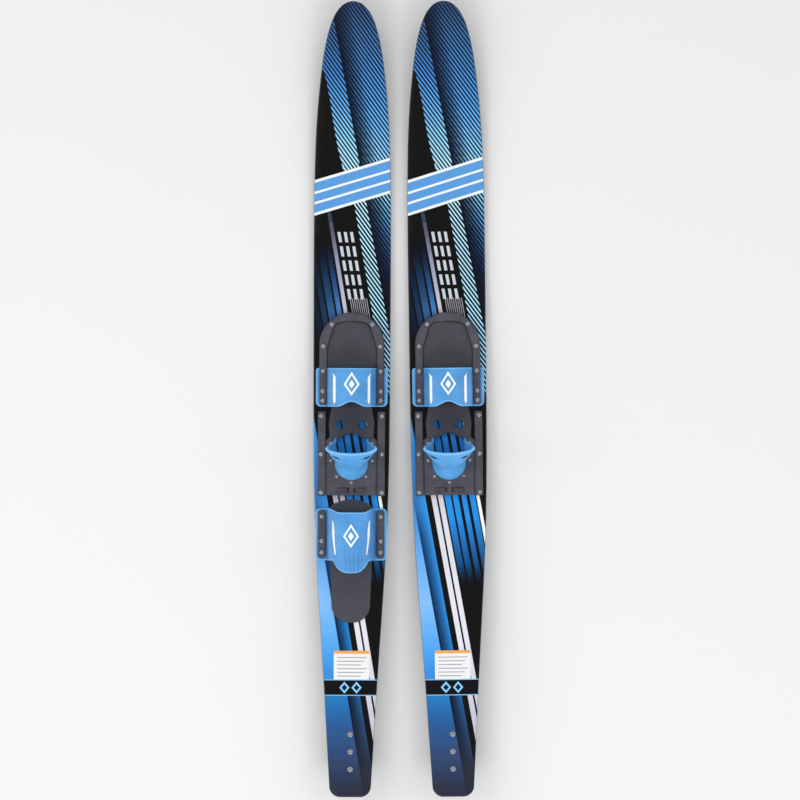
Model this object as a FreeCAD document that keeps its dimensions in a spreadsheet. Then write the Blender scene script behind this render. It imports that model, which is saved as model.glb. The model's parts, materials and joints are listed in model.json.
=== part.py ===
"""A pair of combination water skis, 1.70 m long, lying deck up on the floor.

Each ski is a bonded blank (base shell, core and deck sheet) with a bolted fin under its tail.
On each deck there is an adjustable binding: a horseshoe frame clamps a rubber toe piece, and a
heel plate with a rubber heel cup slides between two notched rails and is held by two spring
loaded lock slides. The left ski also has a rear toe piece for riding on one ski.

Every sub-part is built in its ski's own frame: x across the ski, y from tail to tip with zero at
mid length, z up with zero on the running surface. Its Placement then carries it to the place
where the ski lies: resting on its fin and on the underside of its forebody.
"""

import FreeCAD, Part
import math
import os

from FreeCAD import Placement, Rotation, Vector

SIZES = {
    # The blank
    "ski_length": 1702.0,
    "ski_spacing": 207.0,
    "ski_splay": 0.5,
    "blank_thickness": 20.0,
    "tip_thickness": 10.0,
    "tip_rise": 105.0,
    "tail_thinning": 4.0,
    "forebody_start": 200.0,
    "forebody_length": 220.0,
    "tail_start": -480.0,
    "tail_corner": 22.0,
    "tail_half_width": 43.3,
    "tail_taper": 0.0603,
    "deck_edge_round": 3.0,
    "base_edge_bevel": 3.0,
    "tunnel_depth": 2.0,
    "tunnel_radius": 226.0,
    "shell_floor": 3.5,
    "shell_wall": 4.0,
    "deck_sheet_thickness": 1.2,
    # Fin
    "fin_bolt_pitch": 37.5,
    "fin_bolt_centre": -754.0,
    "fin_depth": 62.0,
    "fin_front": -692.0,
    "fin_tip_front": -748.0,
    "fin_tip_rear": -806.0,
    "fin_rear": -816.0,
    "fin_thickness": 7.0,
    "fin_flange_width": 32.0,
    "fin_flange_thickness": 7.0,
    # Fasteners
    "screw_head_radius": 4.3,
    "screw_head_height": 2.4,
    "screw_radius": 2.4,
    "screw_clearance": 2.5,
    "insert_radius": 4.0,
    "insert_bottom": 7.0,
    "rivet_head_radius": 3.1,
    "rivet_head_height": 1.6,
    "rivet_radius": 1.7,
    "washer_radius": 7.2,
    "washer_height": 1.6,
    # Horseshoe frame
    "frame_height": 10.0,
    "frame_outer_half_width": 69.5,
    "frame_top": 188.0,
    "frame_leg_end": -10.0,
    "flap_thickness": 3.0,
    # Toe piece
    "toe_front": 68.0,
    "toe_rear": -13.0,
    "toe_flap_half_width": 75.5,
    "toe_arch_half_width": 53.0,
    "toe_height_front": 52.0,
    "toe_height_rear": 66.0,
    "rubber_thickness": 3.4,
    # Foot pads
    "pad_thickness": 5.0,
    "front_pad_end": 22.0,
    "heel_pad_thickness": 4.0,
    # Heel slide
    "rail_inner": 55.5,
    "rail_outer": 72.0,
    "rail_front": -24.5,
    "rail_rear": -205.5,
    "rail_height": 11.0,
    "rail_screw_line": 65.0,
    "rail_screw_pitch": 82.0,
    "rail_screw_centre": -116.0,
    "groove_floor": 58.0,
    "groove_bottom": 2.5,
    "groove_height": 3.7,
    "notch_pitch": 9.0,
    "notch_count": 7,
    "notch_width": 6.0,
    "notch_depth": 3.5,
    "heel_plate_half_width": 52.5,
    "heel_plate_front": -83.0,
    "heel_plate_rear": -204.0,
    "heel_plate_bottom": 2.5,
    "heel_plate_top": 9.0,
    "backing_bottom": 0.5,
    "flange_top": 5.0,
    "tongue_half_width": 57.4,
    "tongue_gap": 0.4,
    "apron_bottom": 5.4,
    "apron_thickness": 1.5,
    "apron_front": 4.0,
    "eye_radius": 9.2,
    "eye_x": 23.8,
    "eye_y": -53.0,
    # Heel cup
    "cup_centre": -135.0,
    "cup_half_width": 36.0,
    "cup_rivet_radius": 44.5,
    "cup_rivet_centre": -132.0,
    "cup_height": 88.0,
    # Lock slides
    "lock_line": -193.0,
    "lock_bar_width": 8.0,
    "lock_tab_centre": 20.0,
    "lock_tab_length": 22.0,
    "lock_tab_width": 9.0,
    "lock_travel": 4.0,
    "spring_radius": 2.1,
    "spring_wire": 0.3,
    "spring_half_length": 7.6,
    # Rear toe piece
    "rear_front": -233.0,
    "rear_flap_end": -342.0,
    "rear_tongue_end": -368.0,
    "rear_tongue_half_width": 36.8,
    "rear_flap_half_width": 75.0,
    "rear_arch_half_width": 52.0,
    "rear_height_front": 50.0,
    "rear_height_rear": 74.0,
    "clamp_inner": 54.0,
    "clamp_outer": 71.0,
    "clamp_height": 6.0,
    "clamp_screw_line": 63.0,
    "rear_pad_front": -214.0,
    "rear_pad_end": -476.5,
    "rear_pad_thickness": 4.0,
}

# Screws that hold the horseshoe frame, from the tip end back, on each side of the centre line.
FRAME_SCREWS = [(43.5, 162.0), (61.0, 115.0), (61.5, 62.0), (62.0, 19.0), (62.0, -1.0)]
REAR_CLAMP_SCREWS = [-249.5, -302.0, -326.0]

doc = FreeCAD.newDocument("water_ski_pair")
sheet = doc.addObject("Spreadsheet::Sheet", "Sizes")
for row, (alias, value) in enumerate(SIZES.items(), start=1):
    sheet.set(f"A{row}", alias)
    sheet.set(f"B{row}", str(value))
    sheet.setAlias(f"B{row}", alias)
doc.recompute()

XY, YZ, XZ = "XY", "YZ", "XZ"
# Each turns a sketch's own x and y into the two named axes of the ski.
PLANES = {
    XY: Rotation(),
    YZ: Rotation(Vector(1, 1, 1), 120),
    XZ: Rotation(Vector(1, 0, 0), 90),
}
ORIGIN_ROLES = {XY: "XY_Plane", YZ: "YZ_Plane", XZ: "XZ_Plane"}
parts = []


def size(alias):
    """The sheet's value for an alias, in millimetres."""
    return float(sheet.get(alias))


def deck():
    """Height of the flat deck that the bindings stand on."""
    return size("blank_thickness")


# ---------------------------------------------------------------- outlines


def flat(x, y):
    return Vector(x, y, 0)


def rounded(corners):
    """Sketch edges of a closed polygon given as (x, y, radius), each corner rounded by its radius."""
    starts, ends, arcs = [], [], []
    for i, (x, y, radius) in enumerate(corners):
        here = flat(x, y)
        before = (flat(*corners[i - 1][:2]) - here).normalize()
        after = (flat(*corners[(i + 1) % len(corners)][:2]) - here).normalize()
        if radius <= 0:
            starts.append(here)
            ends.append(here)
            arcs.append(None)
            continue
        half = before.getAngle(after) / 2
        reach = radius / math.tan(half)
        bisector = (before + after).normalize()
        middle = here + bisector * (radius / math.sin(half) - radius)
        starts.append(here + before * reach)
        ends.append(here + after * reach)
        arcs.append(Part.Arc(starts[-1], middle, ends[-1]))
    edges = []
    for i, arc in enumerate(arcs):
        if arc:
            edges.append(arc)
        edges.append(Part.LineSegment(ends[i], starts[(i + 1) % len(corners)]))
    return edges


def rectangle(x0, y0, x1, y1, radius=0.0):
    return rounded([(x0, y0, radius), (x1, y0, radius), (x1, y1, radius), (x0, y1, radius)])


def circles(centres, radius):
    return [Part.Circle(flat(x, y), Vector(0, 0, 1), radius) for x, y in centres]


def both_sides(points):
    """Mirrors (x, y) points in the ski's centre line."""
    return [(side * x, y) for x, y in points for side in (-1, 1)]


def smooth(points, first=None, last=None):
    """A curve through the points, with its end directions where they are given."""
    curve = Part.BSplineCurve()
    if first is None:
        curve.interpolate(Points=points)
    else:
        curve.interpolate(Points=points, InitialTangent=first, FinalTangent=last)
    return curve


def blank_outline(inset):
    """The ski's plan, going round it anticlockwise: tangent arcs, and a tail with round corners."""
    half, corner, taper = size("ski_length") / 2, size("tail_corner"), size("tail_taper")
    side = [(62.0, -531.0), (76.2, -301.0), (81.4, -100.0), (82.0, 160.0), (82.0, 427.0)]
    nose = [(77.0, 598.0), (64.5, 724.0), (45.0, 809.0), (23.5, 842.5), (0.0, half)]
    start = flat(size("tail_half_width") + taper * corner, corner - half)
    through = [start] + [flat(x, y) for x, y in side + nose]
    right = smooth(through, flat(taper, 1), flat(-1, 0)).toBiArcs(0.3)
    left = [in_mirror(arc) for arc in reversed(right)]
    along, across = flat(taper, 1).normalize(), flat(-1, 0)
    elbow, half_angle = start - along * (corner * math.hypot(1, taper)), along.getAngle(across) / 2
    reach = (start - elbow).Length
    radius = reach * math.tan(half_angle)
    middle = elbow + (along + across).normalize() * (radius / math.sin(half_angle) - radius)
    right_corner = Part.Arc(elbow + across * reach, middle, start)
    left_corner = in_mirror(right_corner)
    tail_line = Part.LineSegment(left_corner.EndPoint, right_corner.StartPoint)
    return [inward(e, inset) for e in right + left + [left_corner, tail_line, right_corner]]


def three_points(edge):
    first, last = edge.FirstParameter, edge.LastParameter
    return [edge.value(t) for t in (first, (first + last) / 2, last)]


def in_mirror(arc):
    """The same arc on the other side of the centre line, drawn in the opposite order."""
    return Part.Arc(*[flat(-p.x, p.y) for p in reversed(three_points(arc))])


def inward(edge, inset):
    """An edge of an anticlockwise outline, moved parallel to itself towards the inside."""
    moved = []
    for point in three_points(edge):
        along = edge.tangent(edge.parameter(point))[0]
        moved.append(point + flat(-along.y, along.x) * inset)
    if isinstance(edge, Part.LineSegment):
        return Part.LineSegment(moved[0], moved[2])
    return Part.Arc(*moved)


def arc_height(along, start, rise, reach):
    """Height of a circular rise that leaves the level at start and climbs by rise at reach."""
    run = reach - start
    radius = (run**2 + rise**2) / (2 * rise)
    return math.copysign(abs(radius) - math.sqrt(radius**2 - (along - start) ** 2), rise)


def forebody_radius():
    run = size("ski_length") / 2 - size("forebody_start")
    return (run**2 + size("tip_rise") ** 2) / (2 * size("tip_rise"))


def side_curves(level, tip_rise, tail_rise):
    """Tail arc, flat and forebody arc of one of the blank's faces, from tail to tip."""
    half, overhang = size("ski_length") / 2, 12.0
    tail_start, tip_start = size("tail_start"), size("forebody_start")

    def tail(y):
        return flat(y, level + arc_height(-y, -tail_start, tail_rise, half))

    def tip(y):
        return flat(y, level + arc_height(y, tip_start, tip_rise, half))

    end, nose = -half - overhang, half + overhang
    return [
        Part.Arc(tail(end), tail((end + tail_start) / 2), tail(tail_start)),
        Part.LineSegment(tail(tail_start), tip(tip_start)),
        Part.Arc(tip(tip_start), tip((nose + tip_start) / 2), tip(nose)),
    ]


def blank_profile(low, high):
    """The blank's side view between two layers, given as heights above the base and the deck."""
    rise, thin = size("tip_rise"), size("tail_thinning")
    base = side_curves(low, rise, thin)
    top_rise = rise + size("tip_thickness") - size("blank_thickness")
    top = side_curves(deck() + high, top_rise, -thin)
    return (
        base
        + top
        + [
            Part.LineSegment(base[0].StartPoint, top[0].StartPoint),
            Part.LineSegment(base[-1].EndPoint, top[-1].EndPoint),
        ]
    )


def arch(half_width, height, base):
    """An arch across the ski in x and z: steep sides and a broad crown, closed along its base."""
    squareness, steps = 2.5, 12
    points = []
    for i in range(steps + 1):
        angle = math.pi * i / steps
        across = math.copysign(abs(math.cos(angle)) ** (2 / squareness), math.cos(angle))
        points.append(flat(half_width * across, height * math.sin(angle) ** (2 / squareness)))
    points = [p + flat(0, deck()) for p in points]
    points[0].y = points[-1].y = deck()
    curve = smooth(points, flat(0, 1), flat(0, -1))
    right, left = flat(half_width, base), flat(-half_width, base)
    if abs(base - deck()) < 1e-6:
        return [curve, Part.LineSegment(left, right)]
    return [
        curve,
        Part.LineSegment(curve.EndPoint, left),
        Part.LineSegment(left, right),
        Part.LineSegment(right, curve.StartPoint),
    ]


# ---------------------------------------------------------------- document helpers


def bind(thing, **expressions):
    """Ties properties to the sheet; every alias in an expression is written as it stands."""
    for name, expression in expressions.items():
        thing.setExpression(name.replace("__", "."), expression)


def cell(expression):
    """Puts the sheet's name before each alias in an expression."""
    words = expression.replace("(", "( ").replace(")", " )").split()
    return " ".join(f"Sizes.{w}" if w in SIZES else w for w in words)


def sketch(name, edges, plane=XY, level=0.0):
    made = doc.addObject("Sketcher::SketchObject", name)
    normal = PLANES[plane].multVec(Vector(0, 0, 1))
    made.Placement = Placement(normal * level, PLANES[plane])
    for edge in edges:
        made.addGeometry(edge, False)
    return made


def extrusion(name, outline, ahead, behind="0"):
    """Pulls a sketch along its normal, by lengths that are tied to the sheet."""
    made = doc.addObject("Part::Extrusion", name)
    made.Base = outline
    made.DirMode = "Normal"
    made.Solid = True
    bind(made, LengthFwd=cell(ahead), LengthRev=cell(behind))
    return made


def box(name, low, lengths):
    made = doc.addObject("Part::Box", name)
    for side, expression in zip(("Length", "Width", "Height"), lengths):
        made.setExpression(side, cell(expression))
    for letter, expression in zip("xyz", low):
        made.setExpression(f"Placement.Base.{letter}", cell(expression))
    return made


def boolean(kind, name, base, tool):
    made = doc.addObject(f"Part::{kind}", name)
    made.Base, made.Tool = base, tool
    return made


def cut(name, base, tool):
    return boolean("Cut", name, base, tool)


def common(name, base, tool):
    return boolean("Common", name, base, tool)


def joined(name, pieces):
    made = doc.addObject("Part::MultiFuse", name)
    made.Shapes = pieces
    return made


def loft(name, sketches):
    made = doc.addObject("Part::Loft", name)
    made.Sections = sketches
    made.Solid = True
    return made


def fixed_shape(name, shape):
    made = doc.addObject("Part::Feature", name)
    made.Shape = shape
    return made


class Moulding:
    """A PartDesign body that grows from sketches on level planes of its own."""

    def __init__(self, name):
        self.body = doc.addObject("PartDesign::Body", name)
        self.count = 0

    def level_sketch(self, edges, level, plane=XY):
        self.count += 1
        made = self.body.newObject("Sketcher::SketchObject", f"{self.body.Name}_sketch{self.count}")
        origin = [o for o in self.body.Origin.OriginFeatures if o.Role == ORIGIN_ROLES[plane]][0]
        made.AttachmentSupport = [(origin, "")]
        made.MapMode = "FlatFace"
        made.setExpression("AttachmentOffset.Base.z", cell(level))
        for edge in edges:
            made.addGeometry(edge, False)
        return made

    def feature(self, kind, edges, level, length, plane=XY, **options):
        outline = self.level_sketch(edges, level, plane)
        made = self.body.newObject(f"PartDesign::{kind}", f"{self.body.Name}_{kind}{self.count}")
        made.Profile = outline
        bind(made, Length=cell(length))
        for option, value in options.items():
            setattr(made, option, value)
        before = self.body.Shape.Volume if self.count > 1 else 0.0
        doc.recompute()
        if {"Invalid", "Error"} & set(made.State) or abs(self.body.Shape.Volume - before) < 1e-3:
            raise RuntimeError(f"{made.Name} changed nothing: {made.State}")
        return made

    def pad(self, edges, level, length, **options):
        return self.feature("Pad", edges, level, length, **options)

    def pocket(self, edges, level, length, **options):
        """Cuts down from level by length, or up where Reversed is given."""
        return self.feature("Pocket", edges, level, length, **options)

    def soften(self, kind, amount, wanted):
        """Rounds or bevels the edges that wanted picks out of the body as it stands."""
        base = self.body.Tip
        names = [f"Edge{i}" for i, edge in enumerate(base.Shape.Edges, start=1) if wanted(edge)]
        made = self.body.newObject(f"PartDesign::{kind}", f"{self.body.Name}_{kind}")
        made.Base = (base, names)
        setattr(made, "Radius" if kind == "Fillet" else "Size", amount)
        doc.recompute()
        if {"Invalid", "Error"} & set(made.State) or not names:
            raise RuntimeError(f"{made.Name} failed on {names}")
        return made


def at_height(level, tolerance=0.01):
    """Picks edges that lie wholly at one height."""

    def wanted(edge):
        bounds = edge.BoundBox
        return abs(bounds.ZMin - level) < tolerance and abs(bounds.ZMax - level) < tolerance

    return wanted


def rest_placement(offset, shift):
    """Where a ski lies: nose down until fin and forebody touch the floor, and its tail turned out."""
    tilt = Rotation(Vector(1, 0, 0), -math.degrees(rest_angle()))
    foot = tilt.multVec(Vector(0, size("fin_tip_front"), -size("fin_depth")))
    splay = Rotation(Vector(0, 0, 1), math.copysign(size("ski_splay"), offset))
    return Placement(Vector(offset, shift, -foot.z), splay * tilt)


def rest_angle():
    """The tilt at which a line from the fin's front lower corner just touches the forebody arc."""
    radius = forebody_radius()
    run = size("forebody_start") - size("fin_tip_front")
    height = radius + size("fin_depth")
    return math.acos(radius / math.hypot(run, height)) - math.atan2(run, height)


def keep(thing, label, where):
    """Marks an object as a finished sub-part of the pair."""
    thing.Label = label
    thing.Placement = where
    parts.append(thing)
    return thing


# ---------------------------------------------------------------- fasteners


def cross_recess(radius, top, depth):
    """The cross-shaped driver recess of a screw head."""
    length, width = radius * 1.25, radius * 0.26
    arm = Part.makeBox(length, width, depth, Vector(-length / 2, -width / 2, top - depth))
    other = Part.makeBox(width, length, depth, Vector(-width / 2, -length / 2, top - depth))
    return arm.fuse(other)


def screw_shape(head_radius, head_height, radius, top, bottom):
    """A pan-head screw from the underside of its head, at top, down to bottom."""
    crown = head_height * 0.55
    head = Part.makeCylinder(head_radius, head_height, Vector(0, 0, top))
    rim = [e for e in head.Edges if e.BoundBox.ZMin > top + head_height - 0.01]
    head = head.makeFillet(crown, rim)
    head = head.cut(cross_recess(head_radius, top + head_height, head_height * 0.6))
    shank = Part.makeCylinder(radius, top - bottom, Vector(0, 0, bottom))
    return head.fuse(shank).removeSplitter()


def screw_group(name, spots, head_radius, head_height, radius, bottom):
    """Screws at (x, y, top) spots, as separate solids of one sub-part."""
    made = []
    for x, y, top in spots:
        shape = screw_shape(head_radius, head_height, radius, top, bottom)
        made.append(shape.translated(Vector(x, y, 0)))
    return fixed_shape(name, Part.makeCompound(made))


def binding_screws(name, spots):
    return screw_group(
        name,
        spots,
        size("screw_head_radius"),
        size("screw_head_height"),
        size("screw_radius"),
        size("insert_bottom") + 1.0,
    )


def fin_bolts():
    pitch, centre = size("fin_bolt_pitch"), size("fin_bolt_centre")
    return [(0.0, centre + step * pitch) for step in (-1, 0, 1)]


def rail_screws():
    pitch, centre = size("rail_screw_pitch"), size("rail_screw_centre")
    return both_sides([(size("rail_screw_line"), centre + step * pitch) for step in (-1, 0, 1)])


def rear_clamp_screws():
    return both_sides([(size("clamp_screw_line"), y) for y in REAR_CLAMP_SCREWS])


def cup_rivets():
    """Seven rivets on a U round the heel cup."""
    radius, centre = size("cup_rivet_radius"), size("cup_rivet_centre")
    bow = [(radius * math.sin(a), centre - radius * math.cos(a)) for a in (math.pi / 4,)]
    arms = [(radius, centre + 2.5), (radius, centre + 39.5)]
    return [(0.0, centre - radius)] + both_sides(bow + arms)


# ---------------------------------------------------------------- the ski blank


def in_lengths(name, whole):
    """Cuts a layer across into lengths, so that each follows the forebody's curve by itself."""
    bends = ["forebody_start", "forebody_start + forebody_length", "forebody_start + forebody_length * 2"]
    stations = ["0 - ski_length", *bends, "ski_length"]
    lengths = []
    for count, (start, end) in enumerate(zip(stations, stations[1:])):
        corner = ("0 - ski_spacing / 2", start, "0 - ski_spacing")
        slab = box(f"{name}_slab{count}", corner, ("ski_spacing", f"{end} - ( {start} )", "ski_spacing * 2"))
        lengths.append(common(f"{name}_length{count}", whole, slab))
    made = doc.addObject("Part::Compound", f"{name}_lengths")
    made.Links = lengths
    doc.recompute()
    return made


def build_blank(ski, where, insert_spots):
    """Base shell, core and deck sheet, with holes for the inserts and the fin bolts."""
    plan = sketch(f"{ski}_plan", blank_outline(0.0), XY, -20.0)
    inner_plan = sketch(f"{ski}_inner_plan", blank_outline(size("shell_wall")), XY, -20.0)
    profile = sketch(f"{ski}_profile", blank_profile(0.0, 0.0), YZ)
    prism = extrusion(f"{ski}_prism", plan, "tip_rise * 2")
    slab = extrusion(f"{ski}_slab", profile, "ski_spacing / 2", "ski_spacing / 2")
    raw = common(f"{ski}_raw_blank", prism, slab)
    doc.recompute()
    softened = doc.addObject("Part::Fillet", f"{ski}_deck_edge")
    softened.Base = raw
    softened.Edges = rim_edges(raw.Shape, "top", size("deck_edge_round"))
    doc.recompute()
    bevelled = doc.addObject("Part::Chamfer", f"{ski}_base_edge")
    bevelled.Base = softened
    bevelled.Edges = rim_edges(softened.Shape, "bottom", size("base_edge_bevel"))
    tunnel = doc.addObject("Part::Cylinder", f"{ski}_tunnel")
    bind(tunnel, Radius=cell("tunnel_radius"), Height=cell("ski_length"))
    tunnel.Placement.Rotation = Rotation(Vector(1, 0, 0), -90)
    bind(
        tunnel,
        Placement__Base__y=cell("0 - ski_length / 2 - 10"),
        Placement__Base__z=cell("tunnel_depth - tunnel_radius"),
    )
    blank = cut(f"{ski}_blank", bevelled, tunnel)
    doc.recompute()

    skin = size("deck_sheet_thickness")
    above = sketch(f"{ski}_above", layer_above(skin), YZ)
    inside = sketch(f"{ski}_inside", blank_profile(size("shell_floor"), -skin), YZ)
    above_slab = extrusion(f"{ski}_above_slab", above, "ski_spacing / 2", "ski_spacing / 2")
    inside_slab = extrusion(f"{ski}_inside_slab", inside, "ski_spacing / 2", "ski_spacing / 2")
    inner_prism = extrusion(f"{ski}_inner_prism", inner_plan, "tip_rise * 2")

    bolt_holes = sketch(f"{ski}_bolt_holes", circles(fin_bolts(), size("screw_clearance")))
    bolts = extrusion(f"{ski}_bolts", bolt_holes, "blank_thickness * 2", "blank_thickness")
    passages = sketch(f"{ski}_passages", circles(insert_spots, size("screw_clearance")))
    through = extrusion(f"{ski}_through", passages, "blank_thickness * 2", "0 - blank_thickness / 2")
    seats = sketch(f"{ski}_seats", circles(insert_spots, size("insert_radius")))
    pockets = extrusion(
        f"{ski}_pockets",
        seats,
        "blank_thickness - deck_sheet_thickness",
        "0 - insert_bottom",
    )

    sheet_layer = common(f"{ski}_sheet_layer", blank, above_slab)
    sheet_holes = joined(f"{ski}_sheet_holes", [bolts, through])
    deck_sheet = cut(f"{ski}_deck_sheet", sheet_layer, sheet_holes)
    core_layer = common(f"{ski}_core_layer", inner_prism, inside_slab)
    core_holes = joined(f"{ski}_core_holes", [bolts, pockets])
    core = cut(f"{ski}_whole_core", core_layer, core_holes)
    filling = joined(f"{ski}_filling", [sheet_layer, core_layer])
    tray = cut(f"{ski}_tray", blank, filling)
    shell = cut(f"{ski}_whole_shell", tray, bolts)
    doc.recompute()
    keep(deck_sheet, f"{ski}_deck_sheet", where)
    keep(in_lengths(f"{ski}_core", core), f"{ski}_core", where)
    keep(in_lengths(f"{ski}_base_shell", shell), f"{ski}_base_shell", where)

    depth = size("insert_bottom")
    top = deck() - size("deck_sheet_thickness")
    tube = Part.makeCylinder(size("insert_radius"), top - depth, Vector(0, 0, depth))
    bore = Part.makeCylinder(size("screw_clearance"), top - depth - 0.5, Vector(0, 0, depth + 0.5))
    insert = tube.cut(bore)
    group = [insert.translated(Vector(x, y, 0)) for x, y in insert_spots]
    inserts = fixed_shape(f"{ski}_binding_inserts", Part.makeCompound(group))
    keep(inserts, f"{ski}_binding_inserts", where)
    return blank


def layer_above(skin):
    """Side view of the space from the underside of the deck sheet upwards."""
    rise = size("tip_rise") + size("tip_thickness") - size("blank_thickness")
    low = side_curves(deck() - skin, rise, -size("tail_thinning"))
    ceiling = size("tip_rise") * 2
    start, end = low[0].StartPoint, low[-1].EndPoint
    return low + [
        Part.LineSegment(start, flat(start.x, ceiling)),
        Part.LineSegment(flat(start.x, ceiling), flat(end.x, ceiling)),
        Part.LineSegment(flat(end.x, ceiling), end),
    ]


def rim_edges(shape, which, amount):
    """The long edges round the blank's top or bottom face, as a fillet's list."""
    found = []
    for index, edge in enumerate(shape.Edges, start=1):
        faces = [f for f in shape.Faces if any(e.isSame(edge) for e in f.Edges)]
        upright = [abs(face_normal(f).z) < 0.2 for f in faces]
        if len(faces) != 2 or upright.count(True) != 1:
            continue
        level = faces[upright.index(False)]
        if (face_normal(level).z > 0) == (which == "top"):
            found.append((index, amount, amount))
    return found


def face_normal(face):
    u0, u1, v0, v1 = face.ParameterRange
    return face.normalAt((u0 + u1) / 2, (v0 + v1) / 2)


# ---------------------------------------------------------------- fin


def build_fin(ski, where, blank):
    """A moulded fin with a flange that fits the base, its inserts, bolts and cup washers."""
    depth, angle = size("fin_depth"), rest_angle()
    front, rear = size("fin_tip_front"), size("fin_tip_rear")
    rear_depth = depth + (front - rear) * math.tan(angle)
    blade_profile = rounded(
        [
            (size("fin_front"), 6.0, 0.0),
            (size("fin_front") - 8.0, -6.0, 8.0),
            (front, -depth, 0.0),
            (rear, -rear_depth, 0.0),
            (size("fin_rear") + 8.0, -6.0, 3.0),
            (size("fin_rear") + 4.0, 6.0, 0.0),
        ]
    )
    blade_sketch = sketch(f"{ski}_fin_profile", blade_profile, YZ)
    blade = extrusion(f"{ski}_fin_blade", blade_sketch, "fin_thickness / 2", "fin_thickness / 2")
    half = size("fin_flange_width") / 2
    rim = rectangle(-half, size("fin_rear"), half, size("fin_front"), 10.0)
    flange_sketch = sketch(f"{ski}_fin_flange_plan", rim, XY, -size("fin_flange_thickness") + 2.0)
    flange = extrusion(f"{ski}_fin_flange", flange_sketch, "fin_flange_thickness + 4")
    whole = joined(f"{ski}_fin_whole", [blade, flange])
    fitted = cut(f"{ski}_fin_fitted", whole, blank)
    holes = sketch(f"{ski}_fin_holes", circles(fin_bolts(), 3.2), XY, -12.0)
    fin = cut(f"{ski}_fin", fitted, extrusion(f"{ski}_fin_bores", holes, "blank_thickness + 12"))
    doc.recompute()
    keep(fin, f"{ski}_fin", where)

    inserts, washers, bolts = [], [], []
    for x, y in fin_bolts():
        top = deck() + arc_height(-y, -size("tail_start"), -size("tail_thinning"), size("ski_length") / 2)
        roof = arc_height(-y, -size("tail_start"), size("tail_thinning"), size("ski_length") / 2)
        outer = Part.makeCylinder(3.2, roof + 10.0, Vector(x, y, -10.5))
        inner = Part.makeCylinder(size("screw_clearance"), 40.0, Vector(x, y, -9.0))
        inserts.append(outer.cut(inner))
        foot, sunk = Vector(x, y, top - 0.4), size("washer_height") + 0.4
        ring = Part.makeCone(size("washer_radius"), size("washer_radius") - 1.4, sunk, foot)
        bore = Part.makeCylinder(size("screw_clearance"), 10.0, foot)
        washers.append(ring.cut(bore).cut(blank.Shape))
        bolt = screw_shape(4.6, 1.6, size("screw_radius"), top + size("washer_height"), -8.0)
        bolts.append(bolt.translated(Vector(x, y, 0)))
    keep(fixed_shape(f"{ski}_fin_inserts", Part.makeCompound(inserts)), f"{ski}_fin_inserts", where)
    keep(fixed_shape(f"{ski}_fin_washers", Part.makeCompound(washers)), f"{ski}_fin_washers", where)
    keep(fixed_shape(f"{ski}_fin_screws", Part.makeCompound(bolts)), f"{ski}_fin_screws", where)


# ---------------------------------------------------------------- front of the binding


def frame_opening(gap):
    """Inside edge of the horseshoe frame, gap inside it, down to below the legs."""
    foot = size("frame_leg_end") - 20.0
    return [
        (-53.5 + gap, foot, 0.0),
        (53.5 - gap, foot, 0.0),
        (53.5 - gap, 112.0, 40.0),
        (37.0 - gap, 166.0, 22.0),
        (0.0, 170.5 - gap, 150.0),
        (-37.0 + gap, 166.0, 22.0),
        (-53.5 + gap, 112.0, 40.0),
    ]


def frame_outline():
    """Outside of the horseshoe: a round bow and two legs with rounded feet."""
    half, foot, corner = size("frame_outer_half_width"), size("frame_leg_end"), 4.0
    shoulder = size("frame_top") - half
    bow = Part.Circle(flat(0, shoulder), Vector(0, 0, 1), half)
    legs = rounded(
        [(-half, shoulder, 0.0), (-half, foot, corner), (half, foot, corner), (half, shoulder, 0.0)]
    )
    return [Part.ArcOfCircle(bow, 0, math.pi)] + legs[:-1]


def build_horseshoe(ski, where):
    """The moulded frame that clamps the toe piece's flaps to the deck."""
    frame = Moulding(f"{ski}_horseshoe_frame")
    frame.pad(frame_outline(), "blank_thickness", "frame_height")
    frame.soften("Chamfer", 2.6, at_height(deck() + size("frame_height")))
    top = "blank_thickness + frame_height + 5"
    frame.pocket(rounded(frame_opening(0.0)), top, "frame_height + 8")
    frame.soften("Fillet", 1.0, at_height(deck() + size("frame_height")))
    flap = rectangle(-90.0, size("toe_rear") - 10.0, 90.0, size("toe_front") + 0.4)
    frame.pocket(flap, "blank_thickness", "flap_thickness", Reversed=True)
    holes = circles(both_sides(FRAME_SCREWS), size("screw_clearance"))
    frame.pocket(holes, top, "frame_height + 8")
    keep(frame.body, f"{ski}_horseshoe_frame", where)
    head_seat = deck() + size("frame_height")
    spots = [(x, y, head_seat) for x, y in both_sides(FRAME_SCREWS)]
    keep(binding_screws(f"{ski}_frame_screws", spots), f"{ski}_frame_screws", where)


def toe_shell(name, plan, stations, half_width, flap, screws):
    """A rubber arch over the foot with a flap along each side, trimmed to its plan outline."""
    wall, base = size("rubber_thickness"), deck()
    outer = [
        sketch(f"{name}_outer{i}", arch(half_width, height, base), XZ, -y)
        for i, (y, height) in enumerate(stations)
    ]
    inner = [
        sketch(f"{name}_inner{i}", arch(half_width - wall, height - wall, base - 4.0), XZ, -y)
        for i, (y, height) in enumerate(stations)
    ]
    rear, front, side = flap
    flaps = extrusion(
        f"{name}_flaps",
        sketch(f"{name}_flap_plan", rectangle(-side, rear, side, front), XY, base),
        "flap_thickness",
    )
    body = joined(f"{name}_body", [loft(f"{name}_outside", outer), flaps])
    hollow = cut(f"{name}_hollow", body, loft(f"{name}_inside", inner))
    prism = extrusion(f"{name}_trim", sketch(f"{name}_plan", plan, XY, base - 5.0), "cup_height * 2")
    trimmed = common(f"{name}_trimmed", hollow, prism)
    holes = sketch(f"{name}_holes", circles(screws, size("screw_clearance")), XY, base - 5.0)
    made = cut(name, trimmed, extrusion(f"{name}_bores", holes, "blank_thickness"))
    doc.recompute()
    return made


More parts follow.
